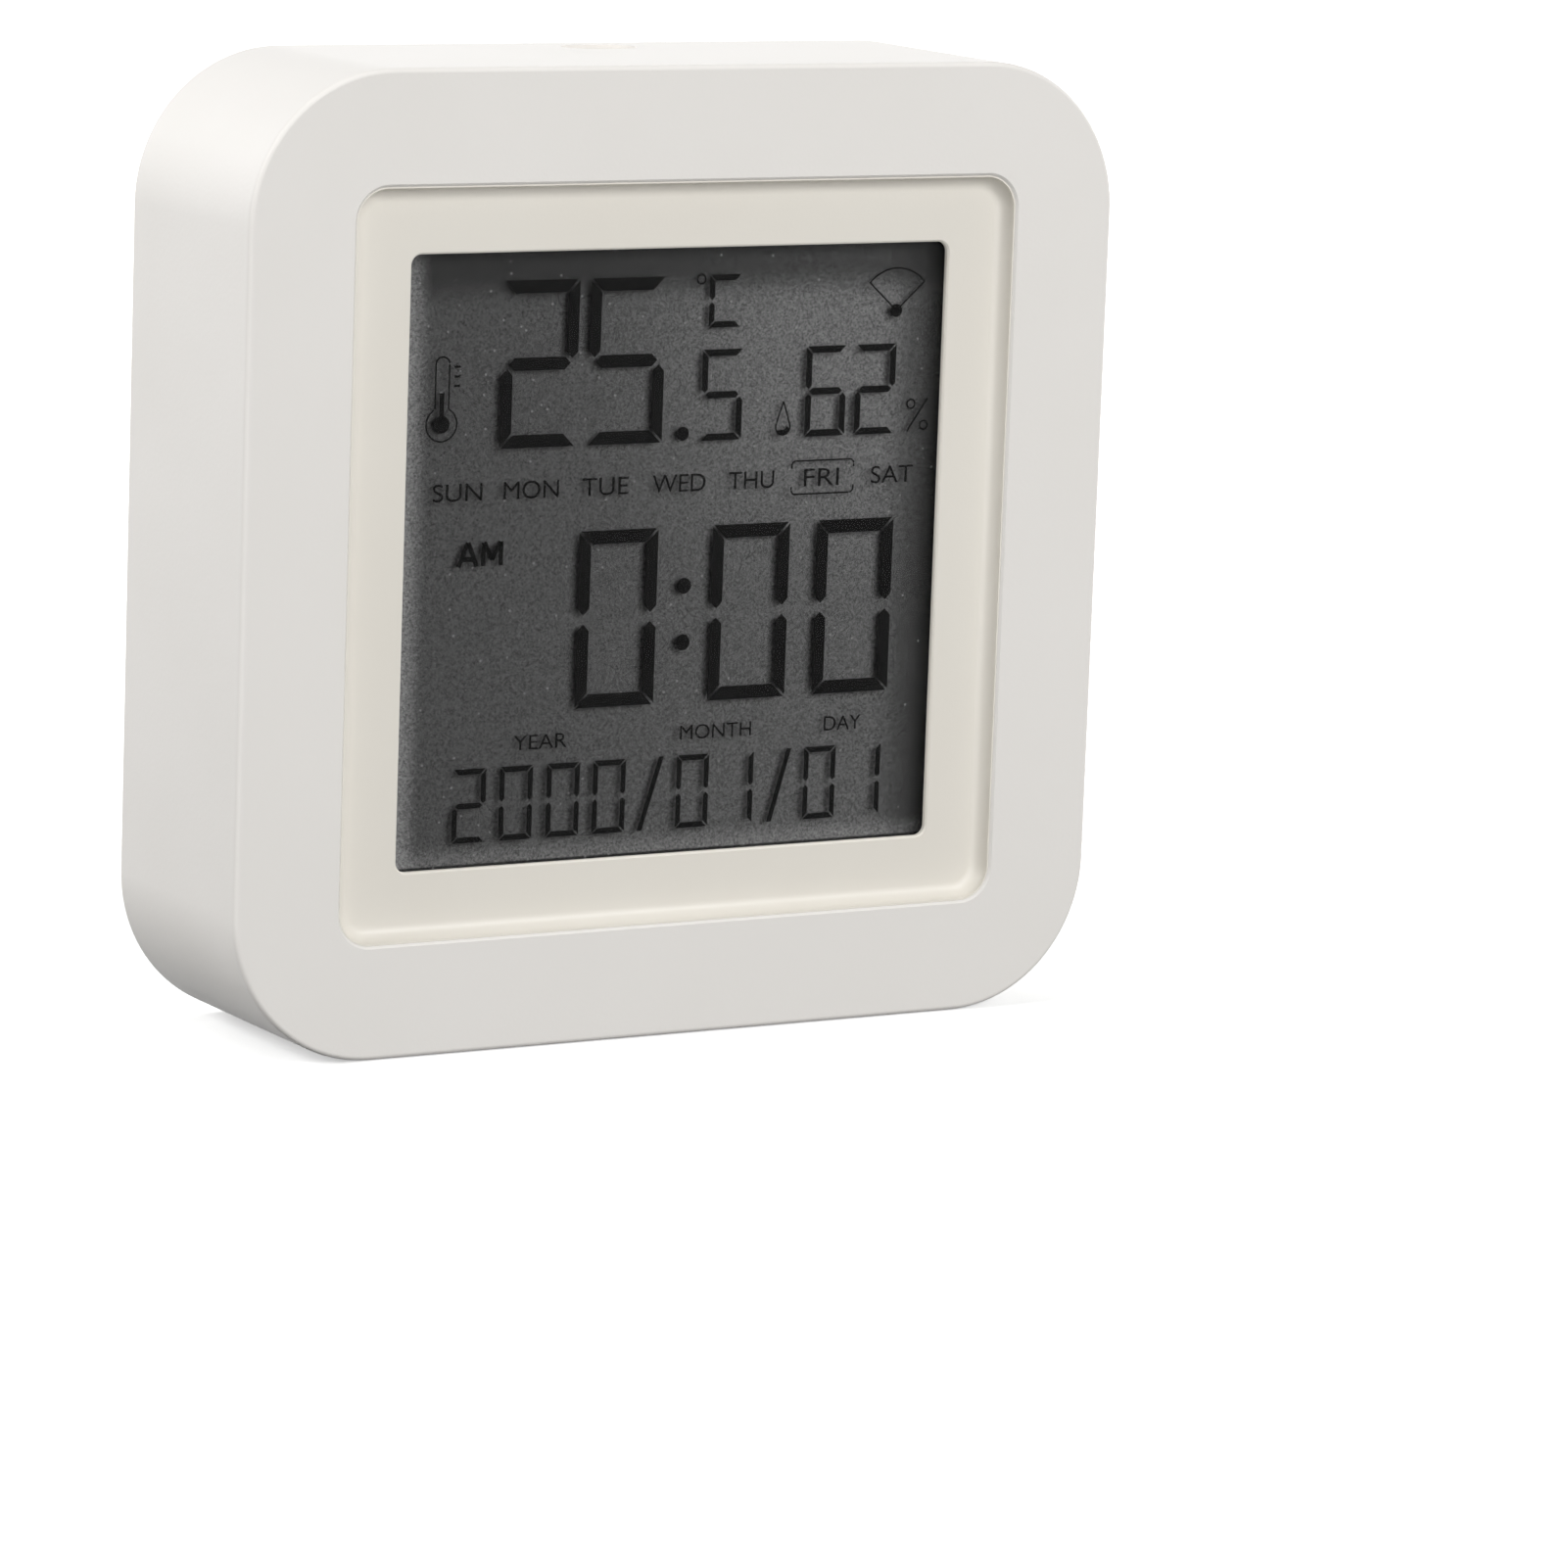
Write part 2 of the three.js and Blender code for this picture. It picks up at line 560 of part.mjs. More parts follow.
function batteryLead(side) {
	const offset = side * leadSpacing / 2;
	const startZ = cellTop - 3 + offset;
	const end = new THREE.Vector3(socketX - offset, at(onBoard + 2.4),
		socketZ - socketSize.height / 2 - 1.6 - layerGap);
	const start = new THREE.Vector3(cellX + cellWidth / 2 + layerGap,
		at(onBoard + cellPad + cellThickness / 2), startZ);
	const route = new THREE.CubicBezierCurve3(start, new THREE.Vector3(end.x, start.y, startZ),
		new THREE.Vector3(end.x, end.y, startZ), end);
	const section = new THREE.Shape();
	for (let i = 0; i < 8; i++) {
		const angle = (i + 0.5) * Math.PI / 4;
		const point = [leadRadius * Math.cos(angle), leadRadius * Math.sin(angle)];
		if (i === 0) section.moveTo(...point);
		else section.lineTo(...point);
	}
	section.closePath();
	return solid(new THREE.ExtrudeGeometry(section, { steps: 10, extrudePath: route, bevelEnabled: false }));
}

// The rear cover drops into the casing's rebate: a flat plate with two groups of vents, a skirt, ribs
// and four sunk screw holes on pads that meet the casing's bosses.
function rearCover() {
	const inset = rearRimWall + coverGap;
	let cover = slab(roundedRect(bodyWidth - 2 * inset, bodyHeight - 2 * inset, bodyCornerRadius - inset),
		coverFront + layerGap, coverRear, { edge: 0.25, edgeSteps: 1, arcSteps: 8 });

	const skirtOut = sideWall + 0.2, skirtIn = skirtOut + coverSkirt.thickness;
	const ring = (gap) => roundedRect(bodyWidth - 2 * gap, bodyHeight - 2 * gap, bodyCornerRadius - gap);
	let inside = cut(slab(ring(skirtOut), coverFront - coverSkirt.height, coverFront + 0.5),
		slab(ring(skirtIn), coverFront - coverSkirt.height - 1, coverFront + 1),
		box(-topButtonWidth / 2 - 1.6, topButtonWidth / 2 + 1.6, coverFront - 5, coverFront + layerGap,
			bodyHeight - sideWall - 3, bodyHeight));
	const reachX = innerHalfWidth - 1, reachZ = innerHalfHeight - 1, web = ribThickness / 2;
	const ribX = innerHalfWidth - ribFromWall, ribZ = cellTop + 4.5;
	inside = join(inside,
		box(-reachX, reachX, coverFront - ribHeight, coverFront + 0.5, ribZ - web, ribZ + web),
		...[-ribX, ribX].map((x) => box(x - web, x + web, coverFront - ribHeight, coverFront + 0.5,
			middle - reachZ, middle + reachZ)));
	inside = inside.intersect(slab(ring(skirtOut), coverFront - coverSkirt.height, coverFront + 0.5));
	for (const [sx, sz] of corners) {
		const x = sx * bossX, z = middle + sz * bossZ;
		inside = cut(inside, rod(bossRadius + 0.3, coverFront - 5, coverFront + layerGap, x, z));
	}
	cover = join(cover, inside);

	const headSeat = coverRear - coverScrew.headHeight - 0.1;
	for (const [sx, sz] of corners) {
		const x = sx * bossX, z = middle + sz * bossZ;
		cover = join(cover, rod(bossRadius - 0.3, bossRear + layerGap, coverFront + 0.5, x, z));
		cover = cut(cover, rod(coverScrew.head + 0.25, headSeat, coverRear + 1, x, z, 20),
			rod(coverScrew.shank + 0.2, bossRear - 1, coverRear + 1, x, z));
	}

	for (const side of [-1, 1]) {
		for (let i = 0; i < ventCount; i++) {
			const x = side * ventGroupX + (i - (ventCount - 1) / 2) * ventPitch;
			cover = cut(cover, slab(roundedRect(ventWidth, ventHeight, ventWidth / 2, x, ventZ), coverFront - 1,
				coverRear + 1, { arcSteps: 3 }));
		}
	}
	return cut(cover, rod(setButtonRadius + buttonGap, coverFront - 1, coverRear + 1, 0, setButtonZ, 24));
}

// A pan-head screw, head to the rear, with a blunt cone at its tip.
function screw({ shank, head, headHeight, length, sides }, seat, x, z) {
	const crown = seat + headHeight;
	return turned([[0, seat - length], [shank * 0.55, seat - length], [shank, seat - length + 1], [shank, seat],
		[head, seat], [head, crown - 0.5], [head - 0.5, crown - 0.05], [0, crown]], x, z, sides);
}

const warmWhite = material('#e9e6e1', 0.55);
const cream = material('#dddacd', 0.42);
const darkPlastic = material('#2b2c2e', 0.5);
const solderMask = material('#1f5a3c', 0.6);
const tinned = material('#c9c9c6', 0.32, 0.9);
const steel = material('#b9b9b4', 0.34, 0.9);

addPiece('front_casing', frontCasing(), warmWhite);
addPiece('display_bezel', displayBezel(), cream);
addPiece('lcd_front_glass', box(-glassWidth / 2, glassWidth / 2, frontGlassAt, frontGlassAt + frontGlass,
	glassBottom, glassTop + glassLedge), material('#8d918f', 0.12));
addPiece('lcd_rear_glass', box(-glassWidth / 2, glassWidth / 2, rearGlassAt, rearGlassAt + rearGlass,
	glassBottom, glassTop), material('#4d4e4e', 0.3));
addPiece('reflector_film', box(-glassWidth / 2, glassWidth / 2, reflectorAt, reflectorAt + reflectorFilm,
	glassBottom, glassTop), material('#c4c6c4', 0.35));
addPiece('light_guide', slab(roundedRect(glassWidth, glassTop - glassBottom, 1), lightGuideAt,
	lightGuideAt + lightGuide, { arcSteps: 3 }), material('#eef0ee', 0.15));
addPiece('backlight_lamp', backlightLamp(), material('#f3f0d8', 0.3));
addPiece('lcd_carrier', lcdCarrier(), material('#f2f2f0', 0.5));
addPiece('contact_strip', box(-contactStripLength / 2, contactStripLength / 2,
	frontGlassAt + frontGlass + pocketGap, boardFront - layerGap,
	contactStripZ - contactStripWidth / 2, contactStripZ + contactStripWidth / 2), material('#d98fa0', 0.7));
addPiece('main_board', mainBoard(), solderMask);
addPiece('radio_board', box(radioX - radioBoard.width / 2, radioX + radioBoard.width / 2, onBoard,
	onBoard + radioBoard.thickness, radioZ - radioBoard.height / 2, radioZ + radioBoard.height / 2),
	material('#17324f', 0.5));
addPiece('shield_can', shieldCanBody(radioX, radioZ - 2.8), tinned);
addPiece('control_chip', controlChip(chipX, chipZ), darkPlastic);
addPiece('humidity_sensor', humiditySensor(), material('#ece9e2', 0.4));
addPiece('usb_shell', usbShell(), tinned);
addPiece('usb_tongue', usbTongue(), darkPlastic);
addPiece('top_switch_body', topSwitchBody(), darkPlastic);
addPiece('top_switch_plunger', topSwitchPlunger(), material('#a8452c', 0.5));
addPiece('top_button', topButton(), warmWhite);
addPiece('set_switch_body', setSwitchBody(), darkPlastic);
addPiece('set_switch_plunger', setSwitchPlunger(), material('#a8452c', 0.5));
addPiece('set_button', setButton(), material('#dcd9d3', 0.5));
addPiece('cell_pad', box(cellX - cellWidth / 2 + 3, cellX + cellWidth / 2 - 3, onBoard, onBoard + cellPad,
	cellZ - cellHeight / 2 + 3, cellZ + cellHeight / 2 - 3), material('#f4f4f2', 0.9));
addPiece('battery_cell', batteryCell(), material('#bcc0c4', 0.35, 0.5));
addPiece('battery_socket', batterySocket(), material('#efece4', 0.45));
addPiece('battery_plug', batteryPlug(), material('#f7f5ef', 0.45));
addPiece('battery_lead_positive', batteryLead(1), material('#b3221c', 0.5));
addPiece('battery_lead_negative', batteryLead(-1), material('#1c1c1d', 0.5));
addPiece('rear_cover', rearCover(), warmWhite);
corners.forEach(([sx, sz], i) => {
	addPiece(`cover_screw_${i + 1}`, screw(coverScrew, coverRear - coverScrew.headHeight - layerGap,
		sx * bossX, middle + sz * bossZ), steel);
	addPiece(`board_screw_${i + 1}`, screw({ ...boardScrew, length: boardScrew.length - 0.5 }, onBoard,
		sx * postX, middle + sz * postZ), steel);
});

export default thermoHygrometer;
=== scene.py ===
# %% [markdown]
# A desk thermo-hygrometer: a rounded square casing of warm white plastic with a liquid crystal display
# sunk in its face. The construction comes packed from the CAD model, at its real size, and this script
# gives it its finish. Shells that show get smooth roundings, the display gets its dark segments, and
# every piece gets a material that says what it is made of and how its surface was made.

import json
import math

import bmesh
import bpy
from mathutils import Matrix, Vector

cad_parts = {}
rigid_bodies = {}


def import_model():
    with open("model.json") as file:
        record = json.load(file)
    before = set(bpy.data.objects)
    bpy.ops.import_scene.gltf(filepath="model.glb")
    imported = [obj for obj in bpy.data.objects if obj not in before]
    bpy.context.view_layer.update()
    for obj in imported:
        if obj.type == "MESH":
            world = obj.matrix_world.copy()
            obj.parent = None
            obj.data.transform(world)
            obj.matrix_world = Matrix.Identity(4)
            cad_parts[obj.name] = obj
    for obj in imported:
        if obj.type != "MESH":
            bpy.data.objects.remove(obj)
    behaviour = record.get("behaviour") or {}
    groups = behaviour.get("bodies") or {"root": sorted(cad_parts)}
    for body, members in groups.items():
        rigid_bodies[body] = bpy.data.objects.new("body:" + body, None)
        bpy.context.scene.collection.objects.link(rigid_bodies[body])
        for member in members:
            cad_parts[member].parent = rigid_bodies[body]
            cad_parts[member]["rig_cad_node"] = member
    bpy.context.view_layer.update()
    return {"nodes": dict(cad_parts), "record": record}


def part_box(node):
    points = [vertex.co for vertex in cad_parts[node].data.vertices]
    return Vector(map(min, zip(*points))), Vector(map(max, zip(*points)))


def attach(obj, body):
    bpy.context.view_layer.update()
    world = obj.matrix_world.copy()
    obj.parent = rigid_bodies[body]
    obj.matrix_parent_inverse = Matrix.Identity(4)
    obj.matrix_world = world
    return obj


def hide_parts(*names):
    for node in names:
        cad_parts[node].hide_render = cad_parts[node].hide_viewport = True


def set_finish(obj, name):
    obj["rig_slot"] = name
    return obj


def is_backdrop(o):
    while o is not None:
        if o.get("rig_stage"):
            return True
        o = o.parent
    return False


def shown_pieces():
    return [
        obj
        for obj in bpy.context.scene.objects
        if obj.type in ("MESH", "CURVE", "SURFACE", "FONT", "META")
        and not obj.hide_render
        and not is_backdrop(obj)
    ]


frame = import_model()
scene = bpy.context.scene

# %% [markdown]
# Lengths are written in millimetres, as the object was measured, and turned to metres in one place. A
# depth is measured back from the casing's front face, as on the drawing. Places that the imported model
# already knows are read from it, so that each modelled piece lands on the one that it stands for.

# %% Units and places
MM = 0.001


def box_mm(name):
    """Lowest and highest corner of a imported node, in millimetres."""
    low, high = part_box(name)
    return low / MM, high / MM


body_low, body_high = box_mm("front_casing")
BODY_DEPTH = body_high.y - body_low.y
BODY_HEIGHT = body_high.z
MIDDLE = BODY_HEIGHT / 2


def at(depth):
    """The Y of a depth behind the front face."""
    return body_low.y + depth


print("casing", [round(v, 2) for v in (body_high - body_low)])

# %% [markdown]
# The camera comes before any finish, because everything is judged through it. Its place was found by
# fitting the casing's straight edges and corners: it stands to the left of the object, a little above
# it, about 0.6 m away, and looks through a long lens. It is also rolled by two degrees, so the view is
# built from its three axes and not from a target point.

# %% Camera
CAMERA_PLACE = Vector((-287.9, -517.1, 126.7))
CAMERA_YAW, CAMERA_PITCH, CAMERA_ROLL = (math.radians(a) for a in (30.49, -10.25, 2.09))
LENS, SENSOR = 165.6, 36.0

ahead = Vector((math.sin(CAMERA_YAW) * math.cos(CAMERA_PITCH),
                math.cos(CAMERA_YAW) * math.cos(CAMERA_PITCH), math.sin(CAMERA_PITCH)))
right = Vector((math.cos(CAMERA_YAW), -math.sin(CAMERA_YAW), 0))
above = right.cross(ahead)
rolled_right = right * math.cos(CAMERA_ROLL) + above * math.sin(CAMERA_ROLL)
rolled_up = above * math.cos(CAMERA_ROLL) - right * math.sin(CAMERA_ROLL)

camera_data = bpy.data.cameras.new("camera")
camera_data.lens = LENS
camera_data.sensor_width = SENSOR
camera_data.clip_start = 0.01
camera = bpy.data.objects.new("camera", camera_data)
scene.collection.objects.link(camera)
axes = Matrix((rolled_right, rolled_up, -ahead)).transposed()
camera.matrix_world = Matrix.Translation(CAMERA_PLACE * MM) @ axes.to_4x4()
scene.camera = camera
print("camera distance in mm", round((CAMERA_PLACE - Vector((0, 0, MIDDLE))).length))

# %% [markdown]
# One function turns a colour as a screen shows it, such as #E9E6E1, into the linear light that the
# renderer counts in. A second adds a shader node and fills its settings and links. Every material below
# is made with these two, so it reads as a list of its nodes. Two more open and close a material.

# %% Colour and node helpers
WHITE, BLACK = (1, 1, 1, 1), (0, 0, 0, 1)


def linear(code):
    """An sRGB hex colour as linear RGBA."""
    parts = [int(code[i:i + 2], 16) / 255 for i in (1, 3, 5)]
    return tuple(c / 12.92 if c <= 0.04045 else ((c + 0.055) / 1.055) ** 2.4 for c in parts) + (1.0,)


def add_node(tree, kind, settings=None, links=None):
    """Adds a node; a setting names a socket or a property, and a link joins a socket to an output."""
    node = tree.nodes.new("ShaderNode" + kind)
    for key, value in (settings or {}).items():
        if isinstance(key, int) or key in node.inputs:
            node.inputs[key].default_value = value
        else:
            setattr(node, key, value)
    for key, output in (links or {}).items():
        tree.links.new(output, node.inputs[key])
    return node


def new_material(name):
    """An empty node material, its nodes, and the place on the object that its patterns follow."""
    material = bpy.data.materials.new(name)
    material.use_nodes = True
    tree = material.node_tree
    tree.nodes.clear()
    return material, tree, add_node(tree, "TexCoord").outputs["Object"]


def close_material(material, shader):
    """Makes the shader the material's surface."""
    add_node(material.node_tree, "OutputMaterial", None, {"Surface": shader.outputs[0]})
    return material


print("mid grey in linear light", [round(c, 3) for c in linear("#808080")])

# %% [markdown]
# The stage is a plain pale floor in a white room. The floor looks white to the camera and keeps the
# object's soft shadow, but it sends only a little light back up, as a darker table does. That is what
# lets the lower corners of the pale casing turn grey, so that they read as round.


# %% Floor and surroundings
def shown_directly(tree):
    """1 for a ray that shows a surface straight, in a gloss or through glass, and 0 for lighting."""
    rays = add_node(tree, "LightPath")
    either = add_node(tree, "Math", {"operation": "MAXIMUM"},
                      {0: rays.outputs["Is Camera Ray"], 1: rays.outputs["Is Glossy Ray"]})
    return add_node(tree, "Math", {"operation": "MAXIMUM"},
                    {0: either.outputs[0], 1: rays.outputs["Is Transmission Ray"]}).outputs[0]


FLOOR_SIZE, FLOOR_DROP = 8000, 0.05
FLOOR_SHOWN, FLOOR_LIT = "#F4F4F3", "#2A2A2A"
# the floor's own glow is weak beside the object, a painted shade round it where its shadow lies, and full
# further away
GLOW_FROM, GLOW_TO, GLOW_IN_PAINTED_SHADE = 40, 300, 0.45

bpy.ops.mesh.primitive_plane_add(size=FLOOR_SIZE * MM, location=(0, 0, -FLOOR_DROP * MM))
floor = bpy.context.object
floor.name = "floor"
floor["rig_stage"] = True

floor_material, tree, place = new_material("pale floor")
away = add_node(tree, "VectorMath", {"operation": "LENGTH"}, {0: place})
# painted shade: the glow fades towards the object, so the floor beside it is darker under any lamp
glow_outside_painted_shade = add_node(tree, "MapRange", {"From Min": GLOW_FROM * MM, "From Max": GLOW_TO * MM,
                                       "To Min": GLOW_IN_PAINTED_SHADE, "To Max": 1.0},
                    {"Value": away.outputs["Value"]})
glow = add_node(tree, "Emission", {"Color": WHITE}, {"Strength": glow_outside_painted_shade.outputs["Result"]})
pale = add_node(tree, "BsdfDiffuse", {"Color": linear(FLOOR_SHOWN)})
white = add_node(tree, "AddShader", None, {0: pale.outputs[0], 1: glow.outputs[0]})
dim = add_node(tree, "BsdfDiffuse", {"Color": linear(FLOOR_LIT)})
mixed = add_node(tree, "MixShader", None, {0: shown_directly(tree), 1: dim.outputs[0], 2: white.outputs[0]})
floor.data.materials.append(close_material(floor_material, mixed))

AMBIENT = 0.12
world = bpy.data.worlds.new("white room")
scene.world = world
world.use_nodes = True
tree = world.node_tree
tree.nodes.clear()
room = add_node(tree, "Background", {"Color": WHITE, "Strength": AMBIENT})
backdrop = add_node(tree, "Background", {"Color": WHITE, "Strength": 1.0})
mixed = add_node(tree, "MixShader", None,
                 {0: shown_directly(tree), 1: room.outputs[0], 2: backdrop.outputs[0]})
add_node(tree, "OutputWorld", None, {"Surface": mixed.outputs[0]})
print("floor", FLOOR_SIZE, "mm wide; the room lights at", AMBIENT, "of white")
scene.view_settings.view_transform = "Standard"

# %% [markdown]
# Six soft lamps do what large diffusers do in a product studio. One stands in front to the upper
# right: it lights the face, and its shadows fall left and down inside the display. A weaker one beside
# the camera's line softens those shadows and reaches the tray's right wall. A faint one hangs above,
# and one stands on the left, a little behind the face, for the left side. The high ones all reach the
# top, which makes it the palest side. Since no lamp shines on the edge between face and side more than
# on the two themselves, that edge stays quiet. The last two stand low behind the object and on its
# right, out of the camera's mirror line: they light what the photograph doesn't show, and hardly
# anything else.


# %% Lamps
def soft_lamp(name, place, size, power):
    """A square diffuser that faces the object's middle; place and size in mm."""
    data = bpy.data.lights.new(name, "AREA")
    data.shape = "SQUARE"
    data.size = size * MM
    data.energy = power
    lamp = bpy.data.objects.new(name, data)
    scene.collection.objects.link(lamp)
    lamp.location = Vector(place) * MM
    toward = Vector((0, 0, MIDDLE)) * MM - lamp.location
    lamp.rotation_euler = toward.to_track_quat("-Z", "Y").to_euler()


soft_lamp("front_lamp", (440, -1000, 620), 420, 7.0)
soft_lamp("fill_lamp", (-80, -1050, 200), 500, 4.8)
soft_lamp("top_lamp", (0, 60, 760), 420, 0.3)
soft_lamp("left_lamp", (-780, 60, 500), 380, 5.85)
soft_lamp("back_lamp", (-60, 950, 130), 400, 6.5)
soft_lamp("right_lamp", (820, 240, 110), 380, 4.0)

# %% [markdown]
# Shells are modelled as a workshop would rough them out: a block is added at its size, its long edges
# are bevelled into the corner rounding, and then the rims of its ends are bevelled. An edge is chosen
# by where its two ends lie, so the choice still holds when a size changes.


# %% Rounded blocks
def only(piece):
    """Selects one object and makes it active, since an operator acts on all that is selected."""
    bpy.ops.object.select_all(action="DESELECT")
    piece.select_set(True)
    bpy.context.view_layer.objects.active = piece


def settle(name):
    """Names the primitive just added and puts its place and size into its mesh."""
    piece = bpy.context.object
    only(piece)
    bpy.ops.object.transform_apply(location=True, rotation=True, scale=True)
    piece.name = name
    piece.data.name = name
    return piece


def modify(piece, kind, **settings):
    """Adds a modifier with its settings and applies it."""
    only(piece)
    modifier = piece.modifiers.new(kind, kind)
    for key, value in settings.items():
        setattr(modifier, key, value)
    bpy.ops.object.modifier_apply(modifier=modifier.name)


def bevel_where(piece, wanted, radius, steps):
    """Bevels the edges whose two ends pass the test, to a radius in mm."""
    only(piece)
    bpy.ops.object.mode_set(mode="EDIT")
    bpy.ops.mesh.select_mode(type="EDGE")
    bpy.ops.mesh.select_all(action="DESELECT")
    mesh = bmesh.from_edit_mesh(piece.data)
    for edge in mesh.edges:
        edge.select_set(wanted(edge.verts[0].co / MM, edge.verts[1].co / MM))
    bmesh.update_edit_mesh(piece.data)
    bpy.ops.mesh.bevel(offset=radius * MM, offset_type="OFFSET", segments=steps, affect="EDGES",
                       clamp_overlap=False)
    bpy.ops.object.mode_set(mode="OBJECT")


# two places closer than this, in mm, count as the same
NEAR = 1e-3
# turns a primitive so that it stands upright, in the plane of the face
UPRIGHT = (math.pi / 2, 0, 0)


def rounded_block(name, low, high, along, corner, low_rim=0, high_rim=0, steps=24, rim_steps=6):
    """A block between two corners in mm, rounded along one axis, with rounded rims at its two ends."""
    low, high = Vector(low), Vector(high)
    bpy.ops.mesh.primitive_cube_add(size=1, location=(low + high) / 2 * MM, scale=(high - low) * MM)
    piece = settle(name)
    if corner:
        across = [i for i in range(3) if i != along]
        bevel_where(piece, lambda a, b: all(abs(a[i] - b[i]) < NEAR for i in across), corner, steps)
    for end, rim in ((low[along], low_rim), (high[along], high_rim)):
        if rim:
            bevel_where(piece, lambda a, b: abs(a[along] - end) < NEAR and abs(b[along] - end) < NEAR,
                        rim, rim_steps)
    return piece


print("places closer than", NEAR, "mm count as the same")

# %% [markdown]
# Openings are cut with a block of the same kind, and bosses are joined on. Weighted normals keep the
# flat faces flat in the light, so that only the roundings shade. A finished piece is told which body it
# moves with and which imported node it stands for.


# %% Cuts, joins and shading
def carve(piece, *cutters):
    """Cuts each cutter out of a piece and removes it."""
    for cutter in cutters:
        modify(piece, "BOOLEAN", object=cutter, operation="DIFFERENCE", solver="EXACT")
        bpy.data.objects.remove(cutter)


def fuse(piece, *others):
    """Joins solids into one."""
    for other in others:
        modify(piece, "BOOLEAN", object=other, operation="UNION", solver="EXACT")
        bpy.data.objects.remove(other)


def pin(name, radius, depth_from, depth_to, x, z, sides=48):
    """A round bar that runs front to back."""
    bpy.ops.mesh.primitive_cylinder_add(
        vertices=sides, radius=radius * MM, depth=(depth_to - depth_from) * MM,
        location=Vector((x, at((depth_from + depth_to) / 2), z)) * MM, rotation=UPRIGHT)
    return settle(name)


SMOOTH_BELOW = 30


def smooth(piece, degrees=SMOOTH_BELOW):
    """Smooth roundings beside flat faces that stay flat."""
    only(piece)
    bpy.ops.object.shade_smooth_by_angle(angle=math.radians(degrees))
    modify(piece, "WEIGHTED_NORMAL", keep_sharp=True)


def stands_for(piece, body, slot, node):
    """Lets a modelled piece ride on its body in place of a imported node."""
    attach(piece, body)
    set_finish(piece, slot)
    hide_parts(node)
    print(piece.name, len(piece.data.polygons), "faces")


print("edges flatter than", SMOOTH_BELOW, "degrees are smoothed")

# %% [markdown]
# The casing is one moulding: a square tub with a large corner rounding and only a small rounding where
# the sides meet the face. It is hollow, open at the back, and carries a boss for each of the cover's
# screws and a post on a web for each of the board's. The opening for the bezel has a very small
# chamfer, which is the fine bright line in the light.

# %% Casing
CORNER_RADIUS, EDGE_RADIUS = 12.5, 0.42
FRONT_WALL, SIDE_WALL, RIM_WALL = 2.0, 2.4, 1.6
COVER_DEPTH, OPENING_EDGE = 19.4, 0.2
# boss for a cover screw, post for a board screw: radius, depth of its end, radius and length of its pilot
BOSS_RADIUS, BOSS_REAR, BOSS_PILOT, BOSS_PILOT_LENGTH = 2.8, 18.2, 1.1, 8.5
POST_RADIUS, BOARD_FRONT, POST_PILOT, POST_PILOT_LENGTH = 2.2, 10.48, 0.85, 5.5
RIB_THICKNESS, WEB_BELOW_POST = 1.0, 1.5
FLANGE, FLANGE_REAR, BEZEL_CORNER = 1.2, 3.25, 2.8
SHOWN_GAP, POCKET_GAP = 0.015, 0.1
# what is fused reaches this far into its neighbour, and a cutter this far past the face that it opens
OVERLAP, PAST = 0.5, 1
half_width = body_high.x
wall_inside = half_width - SIDE_WALL
flange_half = box_mm("display_bezel")[1].x
bezel_half = flange_half - FLANGE
opening_half = bezel_half + SHOWN_GAP


def square(name, half, depth_from, depth_to, corner, **rims):
    """A rounded square prism centred on the face, by its half width."""
    return rounded_block(name, (-half, at(depth_from), MIDDLE - half), (half, at(depth_to), MIDDLE + half),
                         1, corner, **rims)


def screw_places(kind):
    """Where the four screws of a kind stand on the face, as (x, z)."""
    middles = [sum(box_mm(f"{kind}_{number}"), Vector()) / 2 for number in range(1, 5)]
    return [(middle.x, middle.z) for middle in middles]


casing = square("casing_shell", half_width, 0, BODY_DEPTH, CORNER_RADIUS, low_rim=EDGE_RADIUS,
                high_rim=EDGE_RADIUS, steps=28, rim_steps=8)
carve(casing,
      square("cavity", wall_inside, FRONT_WALL, BODY_DEPTH + PAST, CORNER_RADIUS - SIDE_WALL),
      square("rebate", half_width - RIM_WALL, COVER_DEPTH, BODY_DEPTH + PAST, CORNER_RADIUS - RIM_WALL))

for x, z in screw_places("cover_screw"):
    fuse(casing, pin("boss", BOSS_RADIUS, FRONT_WALL - OVERLAP, BOSS_REAR, x, z))
    carve(casing, pin("pilot", BOSS_PILOT, BOSS_REAR - BOSS_PILOT_LENGTH, BOSS_REAR + PAST, x, z))

for x, z in screw_places("board_screw"):
    fuse(casing, pin("post", POST_RADIUS, FRONT_WALL - OVERLAP, BOARD_FRONT, x, z))
    x0, x1 = sorted((x, math.copysign(wall_inside + OVERLAP, x)))
    fuse(casing, rounded_block("web", (x0, at(FRONT_WALL - OVERLAP), z - RIB_THICKNESS / 2),
                               (x1, at(BOARD_FRONT - WEB_BELOW_POST), z + RIB_THICKNESS / 2), 1, 0))
    carve(casing, pin("pilot", POST_PILOT, BOARD_FRONT - POST_PILOT_LENGTH, BOARD_FRONT + PAST, x, z))

carve(casing,
      square("flange_room", flange_half + POCKET_GAP, FRONT_WALL, FLANGE_REAR + POCKET_GAP,
             BEZEL_CORNER + FLANGE + POCKET_GAP),
      square("opening", opening_half, -PAST, FRONT_WALL + PAST, BEZEL_CORNER + SHOWN_GAP),
      square("opening_edge", opening_half + OPENING_EDGE, -2 * PAST, OPENING_EDGE,
             BEZEL_CORNER + OPENING_EDGE, high_rim=OPENING_EDGE, rim_steps=1))
print("casing shell", len(casing.data.polygons), "faces")

# %% [markdown]
# Two more openings: a small one in the top for the light button, and one in the right side for the
# socket, with a shallow recess round it. One is a stadium and the other a rounded slot, so they are cut
# with the same rounded block, turned to run along another axis. A stadium's corners stop just short of
# a half circle, because two bevels that met exactly would leave doubled points.

